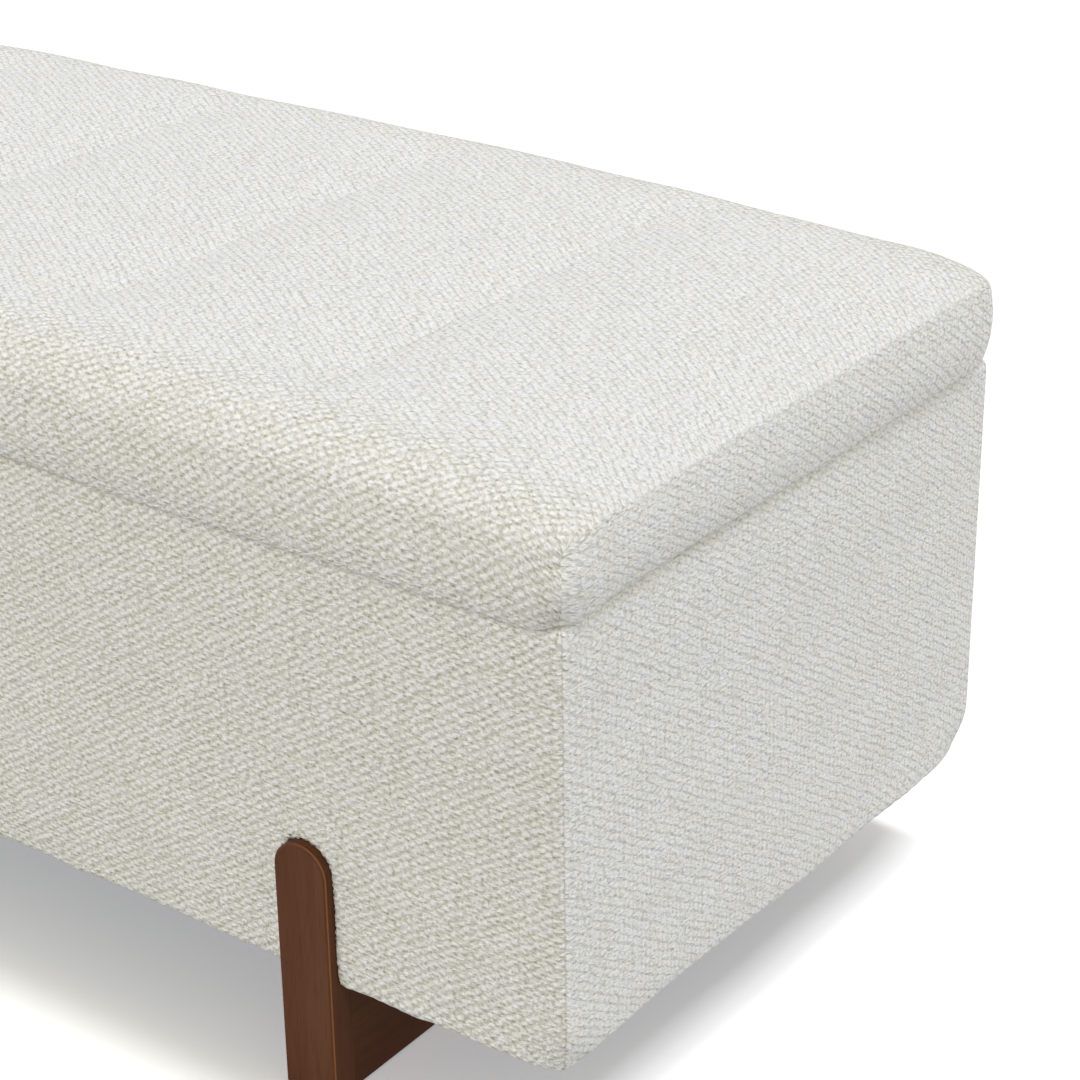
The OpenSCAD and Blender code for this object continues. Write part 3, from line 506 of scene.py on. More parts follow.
cream_cloth = basket_weave("cream_basket_weave")
box_w, box_d = 1.220, 0.480
box_low, box_high = 0.084, 0.3705
corner_r = 0.006
foot_r, rim_r, inner_r = 0.006, 0.0085, 0.003
padding = 0.010
rim_w, rim_fold, base_fold = 0.027, 0.025, 0.040
cloth_t = 0.002
slot_room = 0.0006


def bend(centre, radius, start, stop, steps):
    """Points of a rolled edge, in the panel's inset and height."""
    angles = [start + (stop - start) * k / steps for k in range(1, steps)]
    return [(centre[0] + radius * math.cos(a), centre[1] + radius * math.sin(a)) for a in angles]


def straight(start, stop, steps):
    return [
        (start[0] + (stop[0] - start[0]) * k / steps, start[1] + (stop[1] - start[1]) * k / steps)
        for k in range(steps + 1)
    ]


def panel_section():
    """The cloth's way round a wall, and back along the foam: insets and heights, and how many show."""
    shown = straight((base_fold, box_low), (foot_r, box_low), 4)
    shown += bend((foot_r, box_low + foot_r), -foot_r, math.pi / 2, 0, 5)
    shown += straight((0, box_low + foot_r), (0, box_high - rim_r), 27)
    shown += bend((rim_r, box_high - rim_r), -rim_r, 0, -math.pi / 2, 4)
    shown += straight((rim_r, box_high), (rim_w - inner_r, box_high), 4)
    shown += bend((rim_w - inner_r, box_high - inner_r), inner_r, math.pi / 2, 0, 3)
    shown += straight((rim_w, box_high - inner_r), (rim_w, box_high - rim_fold), 4)
    wall = rim_w - cloth_t
    hidden = straight((wall, box_high - rim_fold), (wall, box_high - cloth_t), 4)
    hidden += straight((padding, box_high - cloth_t), (padding, box_low + cloth_t), 12)
    hidden += straight((base_fold, box_low + cloth_t), (base_fold, box_low), 1)
    return shown, hidden


def box_panel(name, half_long, half_deep, slots):
    """One padded panel, made for the front of its box and turned to its side later."""
    shown, hidden = panel_section()
    section = np.array(shown + hidden)
    travel = np.concatenate([[0], np.cumsum(np.linalg.norm(np.diff(section, axis=0), axis=1))])
    flat_w = half_long - corner_r
    turn = corner_r * math.pi / 4
    if slots:
        inner, outer = post_x - post_half, post_x + post_half
        side = [(0, inner - 0.020, 36), (inner - 0.020, inner - 0.006, 2), (inner - 0.006, inner + 0.001, 4)]
        side += [(inner + 0.001, outer - 0.001, 6), (outer - 0.001, outer + 0.006, 4)]
        side += [(outer + 0.006, outer + 0.020, 2), (outer + 0.020, flat_w - 0.020, 13)]
    else:
        side = [(0, flat_w - 0.020, 19)]
    side += [(flat_w - 0.020, flat_w, 4), (flat_w, flat_w + turn, 3)]
    right = spread(*side)
    us = np.concatenate([-right[:0:-1], right])
    piece, column, row = cut_blank(name, us, section[:, 0])
    u, inset, z = us[column], section[row, 0], section[row, 1]
    radius = np.maximum(corner_r - inset, 0.0008)
    reach = half_long - inset - radius
    angle = np.maximum(np.abs(u) - flat_w, 0) / corner_r
    x = np.sign(u) * (np.minimum(np.abs(u), flat_w) * reach / flat_w + radius * np.sin(angle))
    y = -(half_deep - inset - radius) - radius * np.cos(angle)
    put(piece, np.column_stack([x, y, z]))
    corner_uv = np.column_stack([u, travel[row]])[face_corners(piece)]
    # The front and back panels take the front-facing look, with its painted shade in the ground; the ends
    # don't.
    thread_map(piece, corner_uv, np.full(len(u), 1.0 if slots else -1.0))
    only(piece)
    bpy.ops.object.mode_set(mode="EDIT")
    bpy.ops.mesh.select_all(action="SELECT")
    bpy.ops.mesh.remove_doubles(threshold=0.00002)
    bpy.ops.object.mode_set(mode="OBJECT")
    face_outward(piece, close_ends=True)
    return piece


def slot_distance(places):
    """How far each point lies from the edge of the nearest post slot, less than nothing inside it."""
    across = np.abs(np.abs(places[:, 0]) - post_x)
    above = places[:, 2] - arch_z
    return np.where(above > 0, np.hypot(across, above), across) - post_half


def settle_panel(piece, half_long, half_deep, slots, seed):
    """Fills the panel out, swells it round the slots, lets its foot sag, and subdivides it once."""
    at = places_of(piece)
    front = at[:, 1] < -(half_deep - 0.0005)
    reach = np.abs(at[:, 0]) / (half_long - corner_r)
    free = front & (reach < 0.999)
    free &= (at[:, 2] > box_low + foot_r + 0.001) & (at[:, 2] < box_high - rim_r - 0.001)
    if slots:
        near = slot_distance(at)
        free &= near > 0.004
    held = np.where(free, 0.0, 1.0)
    fill_out(piece, held, 3.0, 0.0022)
    at = places_of(piece)
    skin = at[:, 1] < -(half_deep - 0.006)
    at[skin, 1] -= 0.0007 * smooth_blob(at[skin], 0.16, seed) * np.clip((1 - reach[skin]) * 12, 0, 1)
    low = at[:, 2] < box_low + 0.02
    at[low & skin, 2] += 0.0009 * smooth_blob(at[low & skin], 0.09, seed + 1)
    if slots:
        near = slot_distance(at)
        swollen = np.exp(-((np.maximum(near, 0) / 0.011) ** 2)) * np.clip((at[:, 2] - box_low) / 0.012, 0, 1)
        at[skin, 1] -= (0.0022 * swollen)[skin]
    inset = half_deep + at[:, 1]
    from_corner = half_long - np.abs(at[:, 0])
    if slots:
        ways = (0, 0.020, 0.05, 0.10, 0.16, 0.24, 0.34)
        sags = (0.0026, 0.0075, 0.0065, 0.0058, 0.0056, 0.0034, 0.0004)
        sag = np.interp(from_corner, ways, sags)
    else:
        ways = (-0.24, -0.232, -0.205, -0.162, -0.110, -0.056, 0.016, 0.123, 0.200, 0.225, 0.24)
        sags = (0.0026, 0.0036, -0.0026, -0.0016, -0.001, 0.0012, 0.0026, 0.0056, 0.0085, 0.008, 0.0026)
        sag = np.interp(at[:, 0], ways, sags)
    near_face = np.clip(1 - np.abs(inset) / 0.014, 0, 1)
    near_foot = np.clip(1 - (at[:, 2] - box_low) / 0.03, 0, 1)
    at[:, 2] -= sag * near_face * near_foot
    tuck = np.interp(at[:, 2], (0.084, 0.090, 0.099, 0.110), (0.0065, 0.0045, 0.0015, 0))
    tuck *= np.clip(1 - inset / 0.010, 0, 1) * np.exp(-((np.maximum(from_corner, 0) / 0.024) ** 2))
    at[:, 0] -= np.sign(at[:, 0]) * tuck
    at[:, 1] += tuck
    off_seam = np.abs((half_long - np.abs(at[:, 0])) - (half_deep + at[:, 1]))
    pinch = 0.0004 * np.exp(-((off_seam / 0.0015) ** 2))
    at[skin, 1] += pinch[skin]
    at[skin, 0] -= (np.sign(at[:, 0]) * pinch)[skin]
    put(piece, at)
    on_seam = off_seam < 1e-5
    # The seam points get a darker dotted line in the finish, partly the stitches and partly painted shade in
    # the pinch.
    point_value(piece, "seam", on_seam & skin)
    sharp = piece.data.attributes.new("crease_edge", "FLOAT", "EDGE")
    creases = [float(on_seam[e.vertices[0]] and on_seam[e.vertices[1]]) for e in piece.data.edges]
    sharp.data.foreach_set("value", creases)
    use(piece, "SUBSURF", levels=1, render_levels=1)
    piece.data.attributes.remove(piece.data.attributes["crease_edge"])
    at = places_of(piece)
    fold = (at[:, 2] < box_low + 0.003) & (half_deep + at[:, 1] < 0.008)
    at[fold, 2] += 0.00045 * smooth_blob(at[fold], 0.012, seed + 2)
    put(piece, at)
    return piece


def post_cutter():
    """The outline cut back round a post, a little ragged, standing through the panel."""
    bpy.ops.object.select_all(action="DESELECT")
    bpy.ops.mesh.primitive_cylinder_add(
        vertices=480,
        radius=post_half + slot_room,
        depth=0.06,
        location=(0, -box_d / 2, 0),
        rotation=(math.pi / 2, 0, 0),
    )
    cutter = bpy.context.object
    bpy.ops.object.transform_apply(location=True, rotation=True, scale=True)
    at = places_of(cutter)
    turn = np.arctan2(at[:, 2], at[:, 0])
    below = turn < 0
    slide = np.where(below, 1 - np.abs(np.abs(turn) / (math.pi / 2) - 1), 0)
    radius = post_half + slot_room
    side = np.sign(at[:, 0])
    outline_x = np.where(below, side * radius, at[:, 0])
    outline_z = np.where(below, -0.1 * slide, at[:, 2])
    outline = np.column_stack([outline_x, 0 * turn, outline_z])
    outward_x = np.where(below, side, np.cos(turn))
    outward_z = np.where(below, 0, np.sin(turn))
    outward = np.column_stack([outward_x, 0 * turn, outward_z])
    frayed = smooth_blob(outline, 0.007, 41) * 0.6 + smooth_blob(outline, 0.0035, 42) * 0.4
    outline += outward * (0.0007 * frayed)[:, None]
    at[:, 0], at[:, 2] = outline[:, 0] + post_x, outline[:, 2] + arch_z
    put(cutter, at)
    return cutter


def take_out(piece, cutter):
    use(piece, "BOOLEAN", operation="DIFFERENCE", solver="EXACT", object=cutter)


def turned_copy(piece, name):
    """The same piece turned half round for the opposite side, with its own mesh."""
    twin = piece.copy()
    twin.data = piece.data.copy()
    twin.name = twin.data.name = name
    bpy.context.scene.collection.objects.link(twin)
    twin.data.transform(Matrix.Rotation(math.pi, 4, "Z"))
    return twin


def dress(piece, material, body, slot, *stands_for):
    only(piece)
    bpy.ops.object.shade_smooth()
    piece.data.materials.clear()
    piece.data.materials.append(material)
    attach(piece, body)
    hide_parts(*stands_for)


front = box_panel("front_padded_panel", box_w / 2, box_d / 2, slots=True)
settle_panel(front, box_w / 2, box_d / 2, True, 11)
cutter = post_cutter()
take_out(front, cutter)
cutter.data.transform(Matrix.Scale(-1, 4, (1, 0, 0)))
cutter.data.flip_normals()
take_out(front, cutter)
bpy.data.objects.remove(cutter)
back = turned_copy(front, "back_padded_panel")

right = box_panel("right_padded_panel", box_d / 2, box_w / 2, slots=False)
settle_panel(right, box_d / 2, box_w / 2, False, 23)
right.data.transform(Matrix.Rotation(math.pi / 2, 4, "Z"))
left = turned_copy(right, "left_padded_panel")
for piece, side in ((front, "front"), (back, "back"), (left, "left"), (right, "right")):
    dress(piece, cream_cloth, "box", "cream_weave", side + "_cover", side + "_foam")


# Linings: black spunbonded cloth, cut with a knife and stapled. One blank is
# folded up as a tub inside the box, over the cleats and the corner blocks,
# and a flat one closes the underside, between the base and the runners.
def spunbond(name):
    """Black non-woven cloth: matted fibres, pressed with small bond points."""
    material, f = start_finish(name)
    place = f.node("ShaderNodeTexCoord", out="Object")
    mat = noise(f, place, 1400.0, 4.0, 0.7, 1.0)
    patch = noise(f, place, 22.0, 3.0, 0.6)
    bond = f.node("ShaderNodeTexVoronoi", None, {"Vector": place, "Scale": 620.0, "Randomness": 0.25})
    dot = 1 - ramp(f, bond, 0.18, 0.34)
    tone = mat * 0.6 + patch * 0.4 - dot * 0.18
    shader = f.node(
        "ShaderNodeBsdfPrincipled",
        None,
        {
            "Base Color": two_tone(f, linear(19, 19, 21), linear(52, 52, 55), tone),
            "Roughness": 0.86 - dot * 0.2,
            "Specular IOR Level": 0.3,
            "Normal": bumped(f, mat * 0.5 + patch * 1.5 - dot * 0.6, 0.0006, 0.7),
        },
    )
    return close_finish(material, shader)


def draw_edge(piece, before, after):
    """Extrudes the open edge of a shell from the places it has to new ones."""
    only(piece)
    count = len(piece.data.vertices)
    bpy.ops.object.mode_set(mode="EDIT")
    bpy.ops.mesh.select_mode(type="VERT")
    bpy.ops.mesh.select_all(action="DESELECT")
    bpy.ops.mesh.select_non_manifold()
    bpy.ops.mesh.extrude_edges_move()
    bpy.ops.object.mode_set(mode="OBJECT")
    at = places_of(piece)
    new = at[count:]
    match = np.array([np.argmin(((before - p) ** 2).sum(axis=1)) for p in new])
    at[count:] = after[match]
    put(piece, at)
    return match


def ease(x, low, high):
    t = np.clip((x - low) / (high - low), 0, 1)
    return t * t * (3 - 2 * t)


def cloth_sheet(piece, thickness, material, body, *stands_for):
    """Gives a shell its thickness below the face it was drawn on, and its finish."""
    use(piece, "SOLIDIFY", thickness=thickness, offset=-1.0)
    dress(piece, material, body, "lining_cloth", *stands_for)


black_cloth = spunbond("black_spunbond")
lining_t = 0.0007
tub_floor_z, tub_cleat_z, tub_top_z = 0.0989, 0.1169, 0.343
tub_foot_w, tub_foot_d = 0.5661, 0.1961
tub_wall_w, tub_wall_d = 0.5841, 0.2141
tub_corner = 0.0215
tub_folds = 11


def floor_threads(half, steps):
    """Threads across the tub's floor, closer beside the walls."""
    edge = 0.021
    return spread((-half, -half + edge, 3), (-half + edge, half - edge, steps), (half - edge, half, 3))


tub_xs, tub_ys = floor_threads(tub_foot_w, 60), floor_threads(tub_foot_d, 20)
tub, column, row = cut_blank("box_lining_tub", tub_xs, tub_ys)
x, y = tub_xs[column], tub_ys[row]
put(tub, np.column_stack([x, y, np.full(len(x), tub_floor_z)]))
rim = (np.abs(np.abs(x) - tub_foot_w) < 1e-6) | (np.abs(np.abs(y) - tub_foot_d) < 1e-6)
foot = np.column_stack([x, y, np.full(len(x), tub_floor_z)])[rim]
over_cleat = foot * (1, 1, 0) + (0, 0, tub_cleat_z)
draw_edge(tub, foot, over_cleat)
wall = over_cleat * (tub_wall_w / tub_foot_w, tub_wall_d / tub_foot_d, 1)
past = np.maximum(np.abs(wall[:, 0]) + np.abs(wall[:, 1]) - (tub_wall_w + tub_wall_d - tub_corner), 0) / 2
wall[:, 0] -= np.sign(wall[:, 0]) * past
wall[:, 1] -= np.sign(wall[:, 1]) * past
draw_edge(tub, over_cleat, wall)
before = wall
for step in range(1, tub_folds + 1):
    after = wall.copy()
    after[:, 2] = tub_cleat_z + (tub_top_z - tub_cleat_z) * step / tub_folds
    off_struts = 1 - ease(np.abs(after[:, 0]), 0.34, 0.39)
    below_rim = 0.25 + 0.75 * (step < tub_folds)
    loose = 0.0011 * (1 - smooth_blob(after, 0.13, 61)) * off_struts * below_rim
    after[:, 1] -= np.sign(after[:, 1]) * np.maximum(loose, 0)
    draw_edge(tub, before, after)
    before = after
at = places_of(tub)
flat_floor = at[:, 2] < tub_floor_z + 0.001
ripple = 0.0009 * smooth_blob(at, 0.17, 62) * (1 - ease(np.abs(at[:, 0]), 0.33, 0.39))
at[flat_floor, 2] += np.maximum(ripple, 0)[flat_floor]
put(tub, at)
face_outward(tub)
if tub.data.polygons[0].normal.z < 0:
    tub.data.flip_normals()
cloth_sheet(tub, lining_t, black_cloth, "box", "box_lining")


def stapled_sheet(name, xs, ys, height, droop, seed, bar_x, past_bar, past_x, past_y):
    """A flat blank that droops a little between its staples, and not beside the bars that cross it."""
    sheet, column, row = cut_blank(name, xs, ys)
    x, y = xs[column], ys[row]
    loose = ease(np.abs(np.abs(x) - bar_x), *past_bar)
    loose = loose * (1 - ease(np.abs(x), *past_x)) * (1 - ease(np.abs(y), *past_y))
    sag = droop * loose * (1 + smooth_blob(np.column_stack([x, y, 0 * x]), 0.14, seed))
    put(sheet, np.column_stack([x, y, height - np.maximum(sag, 0)]))
    return sheet


dust = stapled_sheet(
    "dust_cover_sheet",
    np.linspace(-0.595, 0.595, 97),
    np.linspace(-0.225, 0.225, 37),
    height=0.0832,
    droop=0.0012,
    seed=63,
    bar_x=post_x,
    past_bar=(0.024, 0.07),
    past_x=(0.55, 0.59),
    past_y=(0.18, 0.22),
)
cloth_sheet(dust, -lining_t, black_cloth, "box", "dust_cover")


# Hinges and lid stays: zinc-plated pressed leaves with a rolled knuckle and
# a pin, screwed along the back rim, and a gas strut at each end between
# two pressed brackets, on a pivot pin held by a clip in its groove.
def moulded(name, dark, light, roughness):
    """Moulded nylon or rubber: a fine even grain and slightly paler rubbed places."""
    material, f = start_finish(name)
    grain = noise(f, scaled_place(f, 1.0, 1.0, 1.0), 2600.0, 2.0)
    rubbed_and_highlit = noise(f, scaled_place(f, 1.0, 1.0, 1.0), 90.0, 3.0, 0.6)
    shader = f.node(
        "ShaderNodeBsdfPrincipled",
        None,
        {
            "Base Color": two_tone(f, dark, light, ramp(f, rubbed_and_highlit, 0.35, 0.75)),
            "Roughness": rubbed_and_highlit * 0.15 + (roughness - 0.07),
            "Normal": bumped(f, grain, 0.00006, 0.5),
        },
    )
    return close_finish(material, shader)


wear(plated, "box_hinge_leaves", "lid_hinge_leaves", "hinge_pins", "box_leaf_screws", "lid_leaf_screws")
wear(plated, "left_box_bracket", "right_box_bracket", "box_bracket_screws")
wear(plated, "left_lid_bracket", "right_lid_bracket", "lid_bracket_screws")
black_enamel = metal("black_enamel", linear(17, 17, 18), linear(30, 30, 31), 0.38, 0.0)
wear(black_enamel, "left_strut_tube", "right_strut_tube", "box_pivot_clips", "lid_pivot_clips")
chromed_rod = metal("chromed_rod", linear(186, 188, 190), linear(214, 216, 218), 0.16)
wear(chromed_rod, "left_strut_rod", "right_strut_rod")
black_nylon = moulded("black_nylon", linear(24, 24, 25), linear(44, 44, 45), 0.52)
wear(black_nylon, "left_strut_tube_eye", "right_strut_tube_eye", "left_strut_guide", "right_strut_guide")
wear(black_nylon, "left_strut_rod_eye", "right_strut_rod_eye")


# Lid cushion: shaped foam glued on the lid board, in a cover whose long
# top panel runs over the front and back, with a boxing strip sewn in at
# each end. Five rows of stitching draw it down into six shallow channels.
lid_half_w, lid_half_d, lid_mid_y = 0.617, 0.2435, -0.0035
lid_low, crown = 0.3728, 0.0832
end_side_h, long_side_h = 0.0552, 0.0432
end_fall, depth_fall, shoulder = 0.085, 0.005, 0.034
lid_corner, lid_foot_r, lid_hem = 0.025, 0.004, 0.035
length_fall = 0.0115
crest_blend = 0.007
seam_xs = (0.0, 0.209, 0.408)
seam_dip, seam_reach = 0.0036, 0.0055
board_half_w, board_half_d, board_low, board_high = 0.607, 0.2335, 0.376, 0.391


def softer_least(a, b, blend):
    """The lower of two heights, rounded where they meet."""
    h = np.clip(0.5 + 0.5 * (b - a) / blend, 0, 1)
    return b + (a - b) * h - blend * h * (1 - h)


flat_x, flat_y = lid_half_w - end_fall, lid_half_d - shoulder
half = []
for low, high in zip(seam_xs, seam_xs[1:]):
    half += [(low, low + 0.003, 2), (low + 0.003, low + 0.009, 2), (low + 0.009, low + 0.019, 2)]
    half += [(low + 0.019, high - 0.019, 15)]
    half += [(high - 0.019, high - 0.009, 2), (high - 0.009, high - 0.003, 2), (high - 0.003, high, 2)]
half += [(high, high + 0.003, 2), (high + 0.003, high + 0.009, 2), (high + 0.009, high + 0.019, 2)]
half += [(high + 0.019, flat_x, 10), (flat_x, lid_half_w - lid_corner, 5)]
half += [(lid_half_w - lid_corner, lid_half_w, 6)]
right_columns = spread(*half)
columns = np.concatenate([-right_columns[:0:-1], right_columns])
turns = np.linspace(0, math.pi / 2, 9)[1:]
roll_out, roll_drop = shoulder * np.sin(turns), shoulder * (1 - np.cos(turns))
top_rows = np.linspace(-flat_y, flat_y, 43)
rows = np.concatenate([-flat_y - roll_out[::-1], top_rows, flat_y + roll_out])
row_drop = np.concatenate([roll_drop[::-1], 0 * top_rows, roll_drop])

cushion, column, row = cut_blank("lid_padded_cushion", columns, rows)
a, b = columns[column], rows[row]
fall = np.clip((np.abs(a) - flat_x) / end_fall, 0, 1)
along = np.clip((np.abs(a) - 0.24) / (0.59 - 0.24), 0, 1)
crown_here = crown - length_fall * along**1.35
length_height = crown_here - (crown - length_fall - end_side_h) * fall**2.1
bow = np.clip(np.abs(b) / flat_y, 0, 1)
shoulder_fall = row_drop[row] * (crown_here - depth_fall - long_side_h) / shoulder
depth_height = crown_here - depth_fall * bow**2.4 - shoulder_fall
height = softer_least(length_height, depth_height, crest_blend)
lower = np.minimum(length_height, depth_height)
height += crest_blend / 4 * ease(lower, long_side_h, crown_here)
nearest_seam = np.min(np.abs(np.abs(a)[:, None] - seam_xs), axis=1)
fade = 1 - 0.97 * ease(np.abs(b), flat_y - 0.075, flat_y + 0.008)
height -= seam_dip * fade * np.exp(-((nearest_seam / seam_reach) ** 1.25))
height -= 0.0012 * fade * np.exp(-((nearest_seam / 0.035) ** 2))
near_end = ease(np.abs(a), lid_half_w - 0.06, lid_half_w)
near_long = ease(np.abs(b), lid_half_d - 0.05, lid_half_d)
height -= 0.004 * near_end * near_long
in_a = np.clip((np.abs(a) - (lid_half_w - lid_corner)) / lid_corner, 0, 1)
in_b = np.clip((np.abs(b) - (lid_half_d - lid_corner)) / lid_corner, 0, 1)
core_a = np.minimum(np.abs(a), lid_half_w - lid_corner)
core_b = np.minimum(np.abs(b), lid_half_d - lid_corner)
x = np.sign(a) * (core_a + lid_corner * in_a * np.sqrt(1 - in_b**2 / 2))
y = np.sign(b) * (core_b + lid_corner * in_b * np.sqrt(1 - in_a**2 / 2))
put(cushion, np.column_stack([x, y + lid_mid_y, lid_low + height]))
top_count = len(cushion.data.vertices)
top_faces = len(cushion.data.polygons)
grid = np.zeros((len(columns), len(rows), 3))
grid[column, row] = np.column_stack([x, y, height])
travel = np.cumsum(np.linalg.norm(np.diff(grid, axis=1), axis=2), axis=1)
travel = np.concatenate([np.zeros((len(columns), 1)), travel], axis=1)
travel -= travel[:, [len(rows) // 2]]
cloth_u = x + np.sign(a) * 0.012 * fall**2
cloth_v = travel[column, row]

on_end = np.abs(np.abs(a) - lid_half_w) < 1e-6
on_edge = on_end | (np.abs(np.abs(b) - lid_half_d) < 1e-6)
edge = np.column_stack([x, y, height])[on_edge]
edge_u, edge_v = cloth_u[on_edge], cloth_v[on_edge]
core_x = np.sign(edge[:, 0]) * np.minimum(np.abs(edge[:, 0]), lid_half_w - lid_corner)
core_y = np.sign(edge[:, 1]) * np.minimum(np.abs(edge[:, 1]), lid_half_d - lid_corner)
out = edge[:, :2] - np.column_stack([core_x, core_y])
out /= np.linalg.norm(out, axis=1, keepdims=True)
turned = np.arctan2(np.abs(out[:, 0]), np.abs(out[:, 1]))
end_u = edge[:, 1]

# Rings below the edge: inset, share of the way down the side, and drop past it
rings = [(-0.0012, 0.2, 0.0), (-0.0022, 0.4, 0.0), (-0.0024, 0.6, 0.0), (-0.0014, 0.8, 0.0)]
rings.append((0.0010, 1.0, 0.0))
for step in range(1, 5):
    roll = math.pi / 2 * step / 4
    rings.append((0.0010 + lid_foot_r * (1 - math.cos(roll)), 1.0, lid_foot_r * math.sin(roll)))
rings += [(inset, 1.0, lid_foot_r) for inset in (0.0080, 0.0156, 0.0246, lid_hem)]

ways = (0.0, 0.20, 0.30, 0.45, 0.57, 0.592, 0.608, 0.617)
sags = (0.0006, 0.0012, 0.0038, 0.0042, 0.0056, 0.0056, 0.004, 0.003)
long_sag = np.interp(np.abs(edge[:, 0]), ways, sags)
ways = (-0.2435, -0.20, -0.12, -0.04, 0.04, 0.12, 0.20, 0.2435)
sags = (0.003, -0.0030, -0.0026, -0.0005, 0.0010, 0.0022, 0.0036, 0.003)
end_sag = np.interp(edge[:, 1], ways, sags)
foot_sag = np.where(np.abs(edge[:, 0]) > lid_half_w - 0.0005, end_sag, long_sag)
corner_tuck = 0.004 * np.sin(2 * turned) ** 2

ring = np.column_stack([edge[:, 0], edge[:, 1] + lid_mid_y, lid_low + edge[:, 2]])
ring_of, run = [], []
for inset, share, foot in rings:
    hang = foot_sag * (1 - ease(inset, 0.0040, 0.0078))
    target_z = lid_low + edge[:, 2] - (edge[:, 2] - lid_foot_r + hang) * share - foot
    shrink_x, shrink_y = (lid_half_w - inset) / lid_half_w, (lid_half_d - inset) / lid_half_d
    target = np.column_stack([edge[:, 0] * shrink_x, edge[:, 1] * shrink_y + lid_mid_y, target_z])
    target[:, :2] -= out * (corner_tuck * share**2 * (inset < lid_hem))[:, None]
    ring_of.append(draw_edge(cushion, ring, target))
    run.append((edge[:, 2] - lid_foot_r) * share + math.pi / 2 * foot + max(0, inset - lid_foot_r))
    ring = target
order = np.concatenate(ring_of)
drop = np.concatenate([way[points] for way, points in zip(run, ring_of)])


def on_top(values):
    """Values of the top's edge points, with nothing inside the edge."""
    full = np.zeros(top_count)
    full[on_edge] = values
    return full


# The top panel's threads run on down the long sides; the boxings have their own
long_u = np.concatenate([cloth_u, edge_u[order]])
long_v = np.concatenate([cloth_v, edge_v[order] + np.sign(edge[order, 1]) * drop])
end_height = lid_low + edge[:, 2]
boxing_u = np.concatenate([on_top(end_u), end_u[order]])
boxing_v = np.concatenate([on_top(end_height), end_height[order] - drop])
all_turn = np.concatenate([on_top(turned), turned[order]])
corners = face_corners(cushion)
faces = cushion.data.polygons
face_of = np.repeat(np.arange(len(faces)), [len(face.vertices) for face in faces])
face_turn = np.array([np.mean([all_turn[v] for v in face.vertices]) for face in faces])
is_boxing = (np.arange(len(faces)) >= top_faces) & (face_turn > math.pi / 4)
boxing_uv, long_uv = np.column_stack([boxing_u, boxing_v]), np.column_stack([long_u, long_v])
corner_uv = np.where(is_boxing[face_of][:, None], boxing_uv[corners], long_uv[corners])
at = places_of(cushion)
is_side = np.arange(len(at)) >= top_count
not_side = np.zeros(is_side.sum())
# The lid's front and back faces, and a strip of the top before each shoulder, take the front-facing look with
# its painted shade, though top and faces are one cloth; the boxings don't.
front_look_and_shade = np.concatenate([ease(np.abs(b), flat_y - 0.030, flat_y + 0.8 * shoulder), not_side + 1])
thread_map(cushion, corner_uv, np.where(is_side & (all_turn > math.pi / 4), -1.0, -1.0 + 2.0 * front_look_and_shade))
# The stitch rows get a darker dotted line in the finish, partly the stitches and partly painted shade in the
# pinched channel.
point_value(cushion, "seam", np.concatenate([0.8 * fade * np.exp(-((nearest_seam / 0.0013) ** 2)), not_side]))

face_outward(cushion)
seam_hold = np.concatenate([fade * np.exp(-((nearest_seam / 0.003) ** 2)), not_side])
low_hold = 1 - ease(at[:, 2], lid_low + lid_foot_r + 0.001, lid_low + 0.018)
low_hold = np.maximum(low_hold, 0.8 * is_side)
boxing_hold = np.concatenate([0.8 * on_end, not_side])
fill_out(cushion, np.maximum(np.maximum(seam_hold, low_hold), boxing_hold), 3.0, 0.0025)
at = places_of(cushion)
wave = smooth_blob(at, 0.11, 5)
at[:, 2] += 0.0006 * wave * (1 - low_hold)
put(cushion, at)
use(cushion, "SUBSURF", levels=1, render_levels=1)

at = places_of(cushion)
only(cushion)
bpy.ops.object.mode_set(mode="EDIT")
bpy.ops.mesh.select_mode(type="VERT")
bpy.ops.mesh.select_all(action="DESELECT")
bpy.ops.mesh.select_non_manifold()
bpy.ops.object.mode_set(mode="OBJECT")
hem_edge = np.array([v.select for v in cushion.data.vertices])
ring = at[hem_edge]
hem_half_w, hem_half_d = lid_half_w - lid_hem, lid_half_d - lid_hem
turned_up = ring + (0, 0, cloth_t)
draw_edge(cushion, ring, turned_up)
to_board = turned_up.copy()
to_board[:, 0] *= board_half_w / hem_half_w
to_board[:, 1] = (ring[:, 1] - lid_mid_y) * board_half_d / hem_half_d + lid_mid_y
draw_edge(cushion, turned_up, to_board)
over_board = to_board + (0, 0, board_high - board_low)
draw_edge(cushion, to_board, over_board)
face_outward(cushion, close_ends=True)
lid_covers = ("lid_top_cover", "lid_left_boxing", "lid_right_boxing")
dress(cushion, cream_cloth, "lid", "cream_weave", "lid_foam", *lid_covers)


# Underside of the lid: one flat blank of the same black cloth stapled to the
# board, the battens screwed on over it, and round rubber bumpers that meet
# the box's rim.
lid_cloth = stapled_sheet(
    "lid_lining_sheet",
    np.linspace(-0.582, 0.582, 97),
    np.linspace(-0.212, 0.205, 35),
    height=0.3752,
    droop=0.0014,
    seed=64,
    bar_x=0.33,
    past_bar=(0.03, 0.08),
    past_x=(0.50, 0.54),
    past_y=(0.16, 0.20),
)
cloth_sheet(lid_cloth, -lining_t, black_cloth, "lid", "lid_lining")
wear(plated, "batten_screws")
wear(moulded("bumper_rubber", linear(52, 50, 47), linear(82, 79, 74), 0.7), "lid_bumpers")


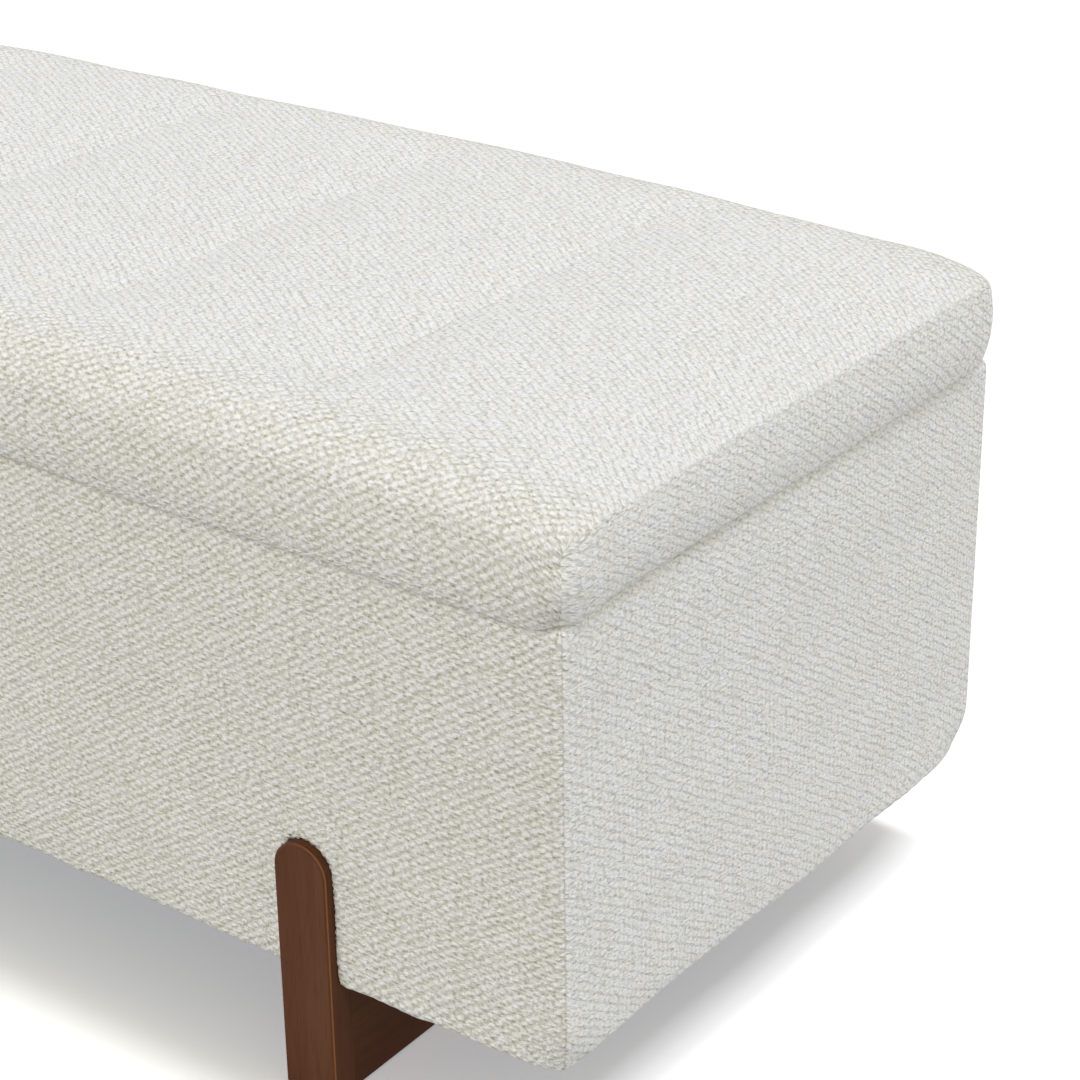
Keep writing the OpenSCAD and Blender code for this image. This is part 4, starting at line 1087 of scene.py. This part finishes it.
# Studio: a pale floor, three narrow lamps fanned overhead that lay one soft
# shadow on it, four wide fills that are kept off it, and a long lens from
# the front corner.
def looked_at(f):
    """1 for what is seen straight, mirrored or through glass, and 0 for what only lights other things."""
    ways = ("Is Camera Ray", "Is Glossy Ray", "Is Transmission Ray")
    seen, mirrored, through = (f.node("ShaderNodeLightPath", out=way) for way in ways)
    return f.maths("MAXIMUM", f.maths("MAXIMUM", seen, mirrored), through)


scene = bpy.context.scene
scene.view_settings.view_transform = "Standard"

bpy.ops.object.select_all(action="DESELECT")
bpy.ops.mesh.primitive_plane_add(size=40, location=(0, 0, 0))
floor = bpy.context.object
floor.name = "studio_floor"
floor_base, floor_gain = 0.340, 1.82
material, f = start_finish("pale_floor")
paper = f.node("ShaderNodeBsdfDiffuse", None, {"Color": (0.8, 0.8, 0.8, 1)})
lit_colour = (floor_gain * 1.03, floor_gain, floor_gain * 0.85, 1)
lit = f.node("ShaderNodeBsdfDiffuse", None, {"Color": lit_colour})
glow = f.node("ShaderNodeEmission", None, {"Color": (0.985, 1.0, 1.05, 1), "Strength": floor_base})
shown_floor = f.node("ShaderNodeAddShader", None, {0: lit, 1: glow})
shader = f.node("ShaderNodeMixShader", None, {0: looked_at(f), 1: paper, 2: shown_floor})
floor.data.materials.append(close_finish(material, shader))
floor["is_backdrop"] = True

world = bpy.data.worlds.new("studio")
scene.world = world
world.use_nodes = True
world.node_tree.nodes.clear()
f = Finish(world.node_tree)
air_strength = 0.20
air = f.node("ShaderNodeBackground", None, {"Color": (1, 1, 1, 1), "Strength": air_strength})
backdrop = f.node("ShaderNodeBackground", None, {"Color": (1, 1, 1, 1), "Strength": 1.0})
shader = f.node("ShaderNodeMixShader", None, {0: looked_at(f), 1: air, 2: backdrop})
world_out = world.node_tree.nodes.new("ShaderNodeOutputWorld")
world.node_tree.links.new(shader.socket, world_out.inputs["Surface"])

keep_off_floor = bpy.data.collections.new("keep_off_floor")
keep_off_floor.objects.link(floor)
keep_off_floor.collection_objects[0].light_linking.link_state = "EXCLUDE"


def lamp(name, toward, strength, spread_angle, tint, on_floor):
    """A far soft lamp: toward points from the object to it."""
    light = bpy.data.lights.new(name, "SUN")
    light.energy, light.angle, light.color = strength, math.radians(spread_angle), tint
    lamp_object = bpy.data.objects.new(name, light)
    scene.collection.objects.link(lamp_object)
    lamp_object.rotation_mode = "QUATERNION"
    lamp_object.rotation_quaternion = Vector(toward).to_track_quat("Z", "Y")
    if not on_floor:
        lamp_object.light_linking.receiver_collection = keep_off_floor


key_angle, fill_angle = 8, 60
for part, lean_in in enumerate((0.23, 0.375, 0.52)):
    lamp("key_%d" % part, (lean_in, 0.088, 1.0), 0.31, key_angle, (0.97, 1.0, 1.24), True)
lamp("front_fill", (-0.25, -1.0, 0.5), 1.95, fill_angle, (1.02, 1.0, 0.96), False)
lamp("right_fill", (1.0, 0.1, 0.35), 1.55, fill_angle, (1.02, 1.0, 0.92), False)
lamp("left_fill", (-1.0, 0.1, 0.2), 0.9, fill_angle, (1.0, 1.0, 1.0), False)
lamp("back_fill", (0.0, 1.0, 0.25), 1.0, fill_angle, (1.0, 1.0, 1.0), False)

camera = bpy.data.objects.new("camera", bpy.data.cameras.new("camera"))
scene.collection.objects.link(camera)
scene.camera = camera
camera.data.lens, camera.data.sensor_width = 93.95, 36
camera.data.shift_x, camera.data.shift_y = 0.0237, 0.0030
across = Vector((0.80553952, 0.59230168, -0.01687635))
down = Vector((0.24202961, -0.35489406, -0.90303481))
ahead = Vector((-0.54085835, 0.72334565, -0.42923573))
stand = Matrix((across, -down, -ahead)).transposed().to_4x4()
stand.translation = (1.38161, -1.31300, 1.05118)
camera.matrix_world = stand

low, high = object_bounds()
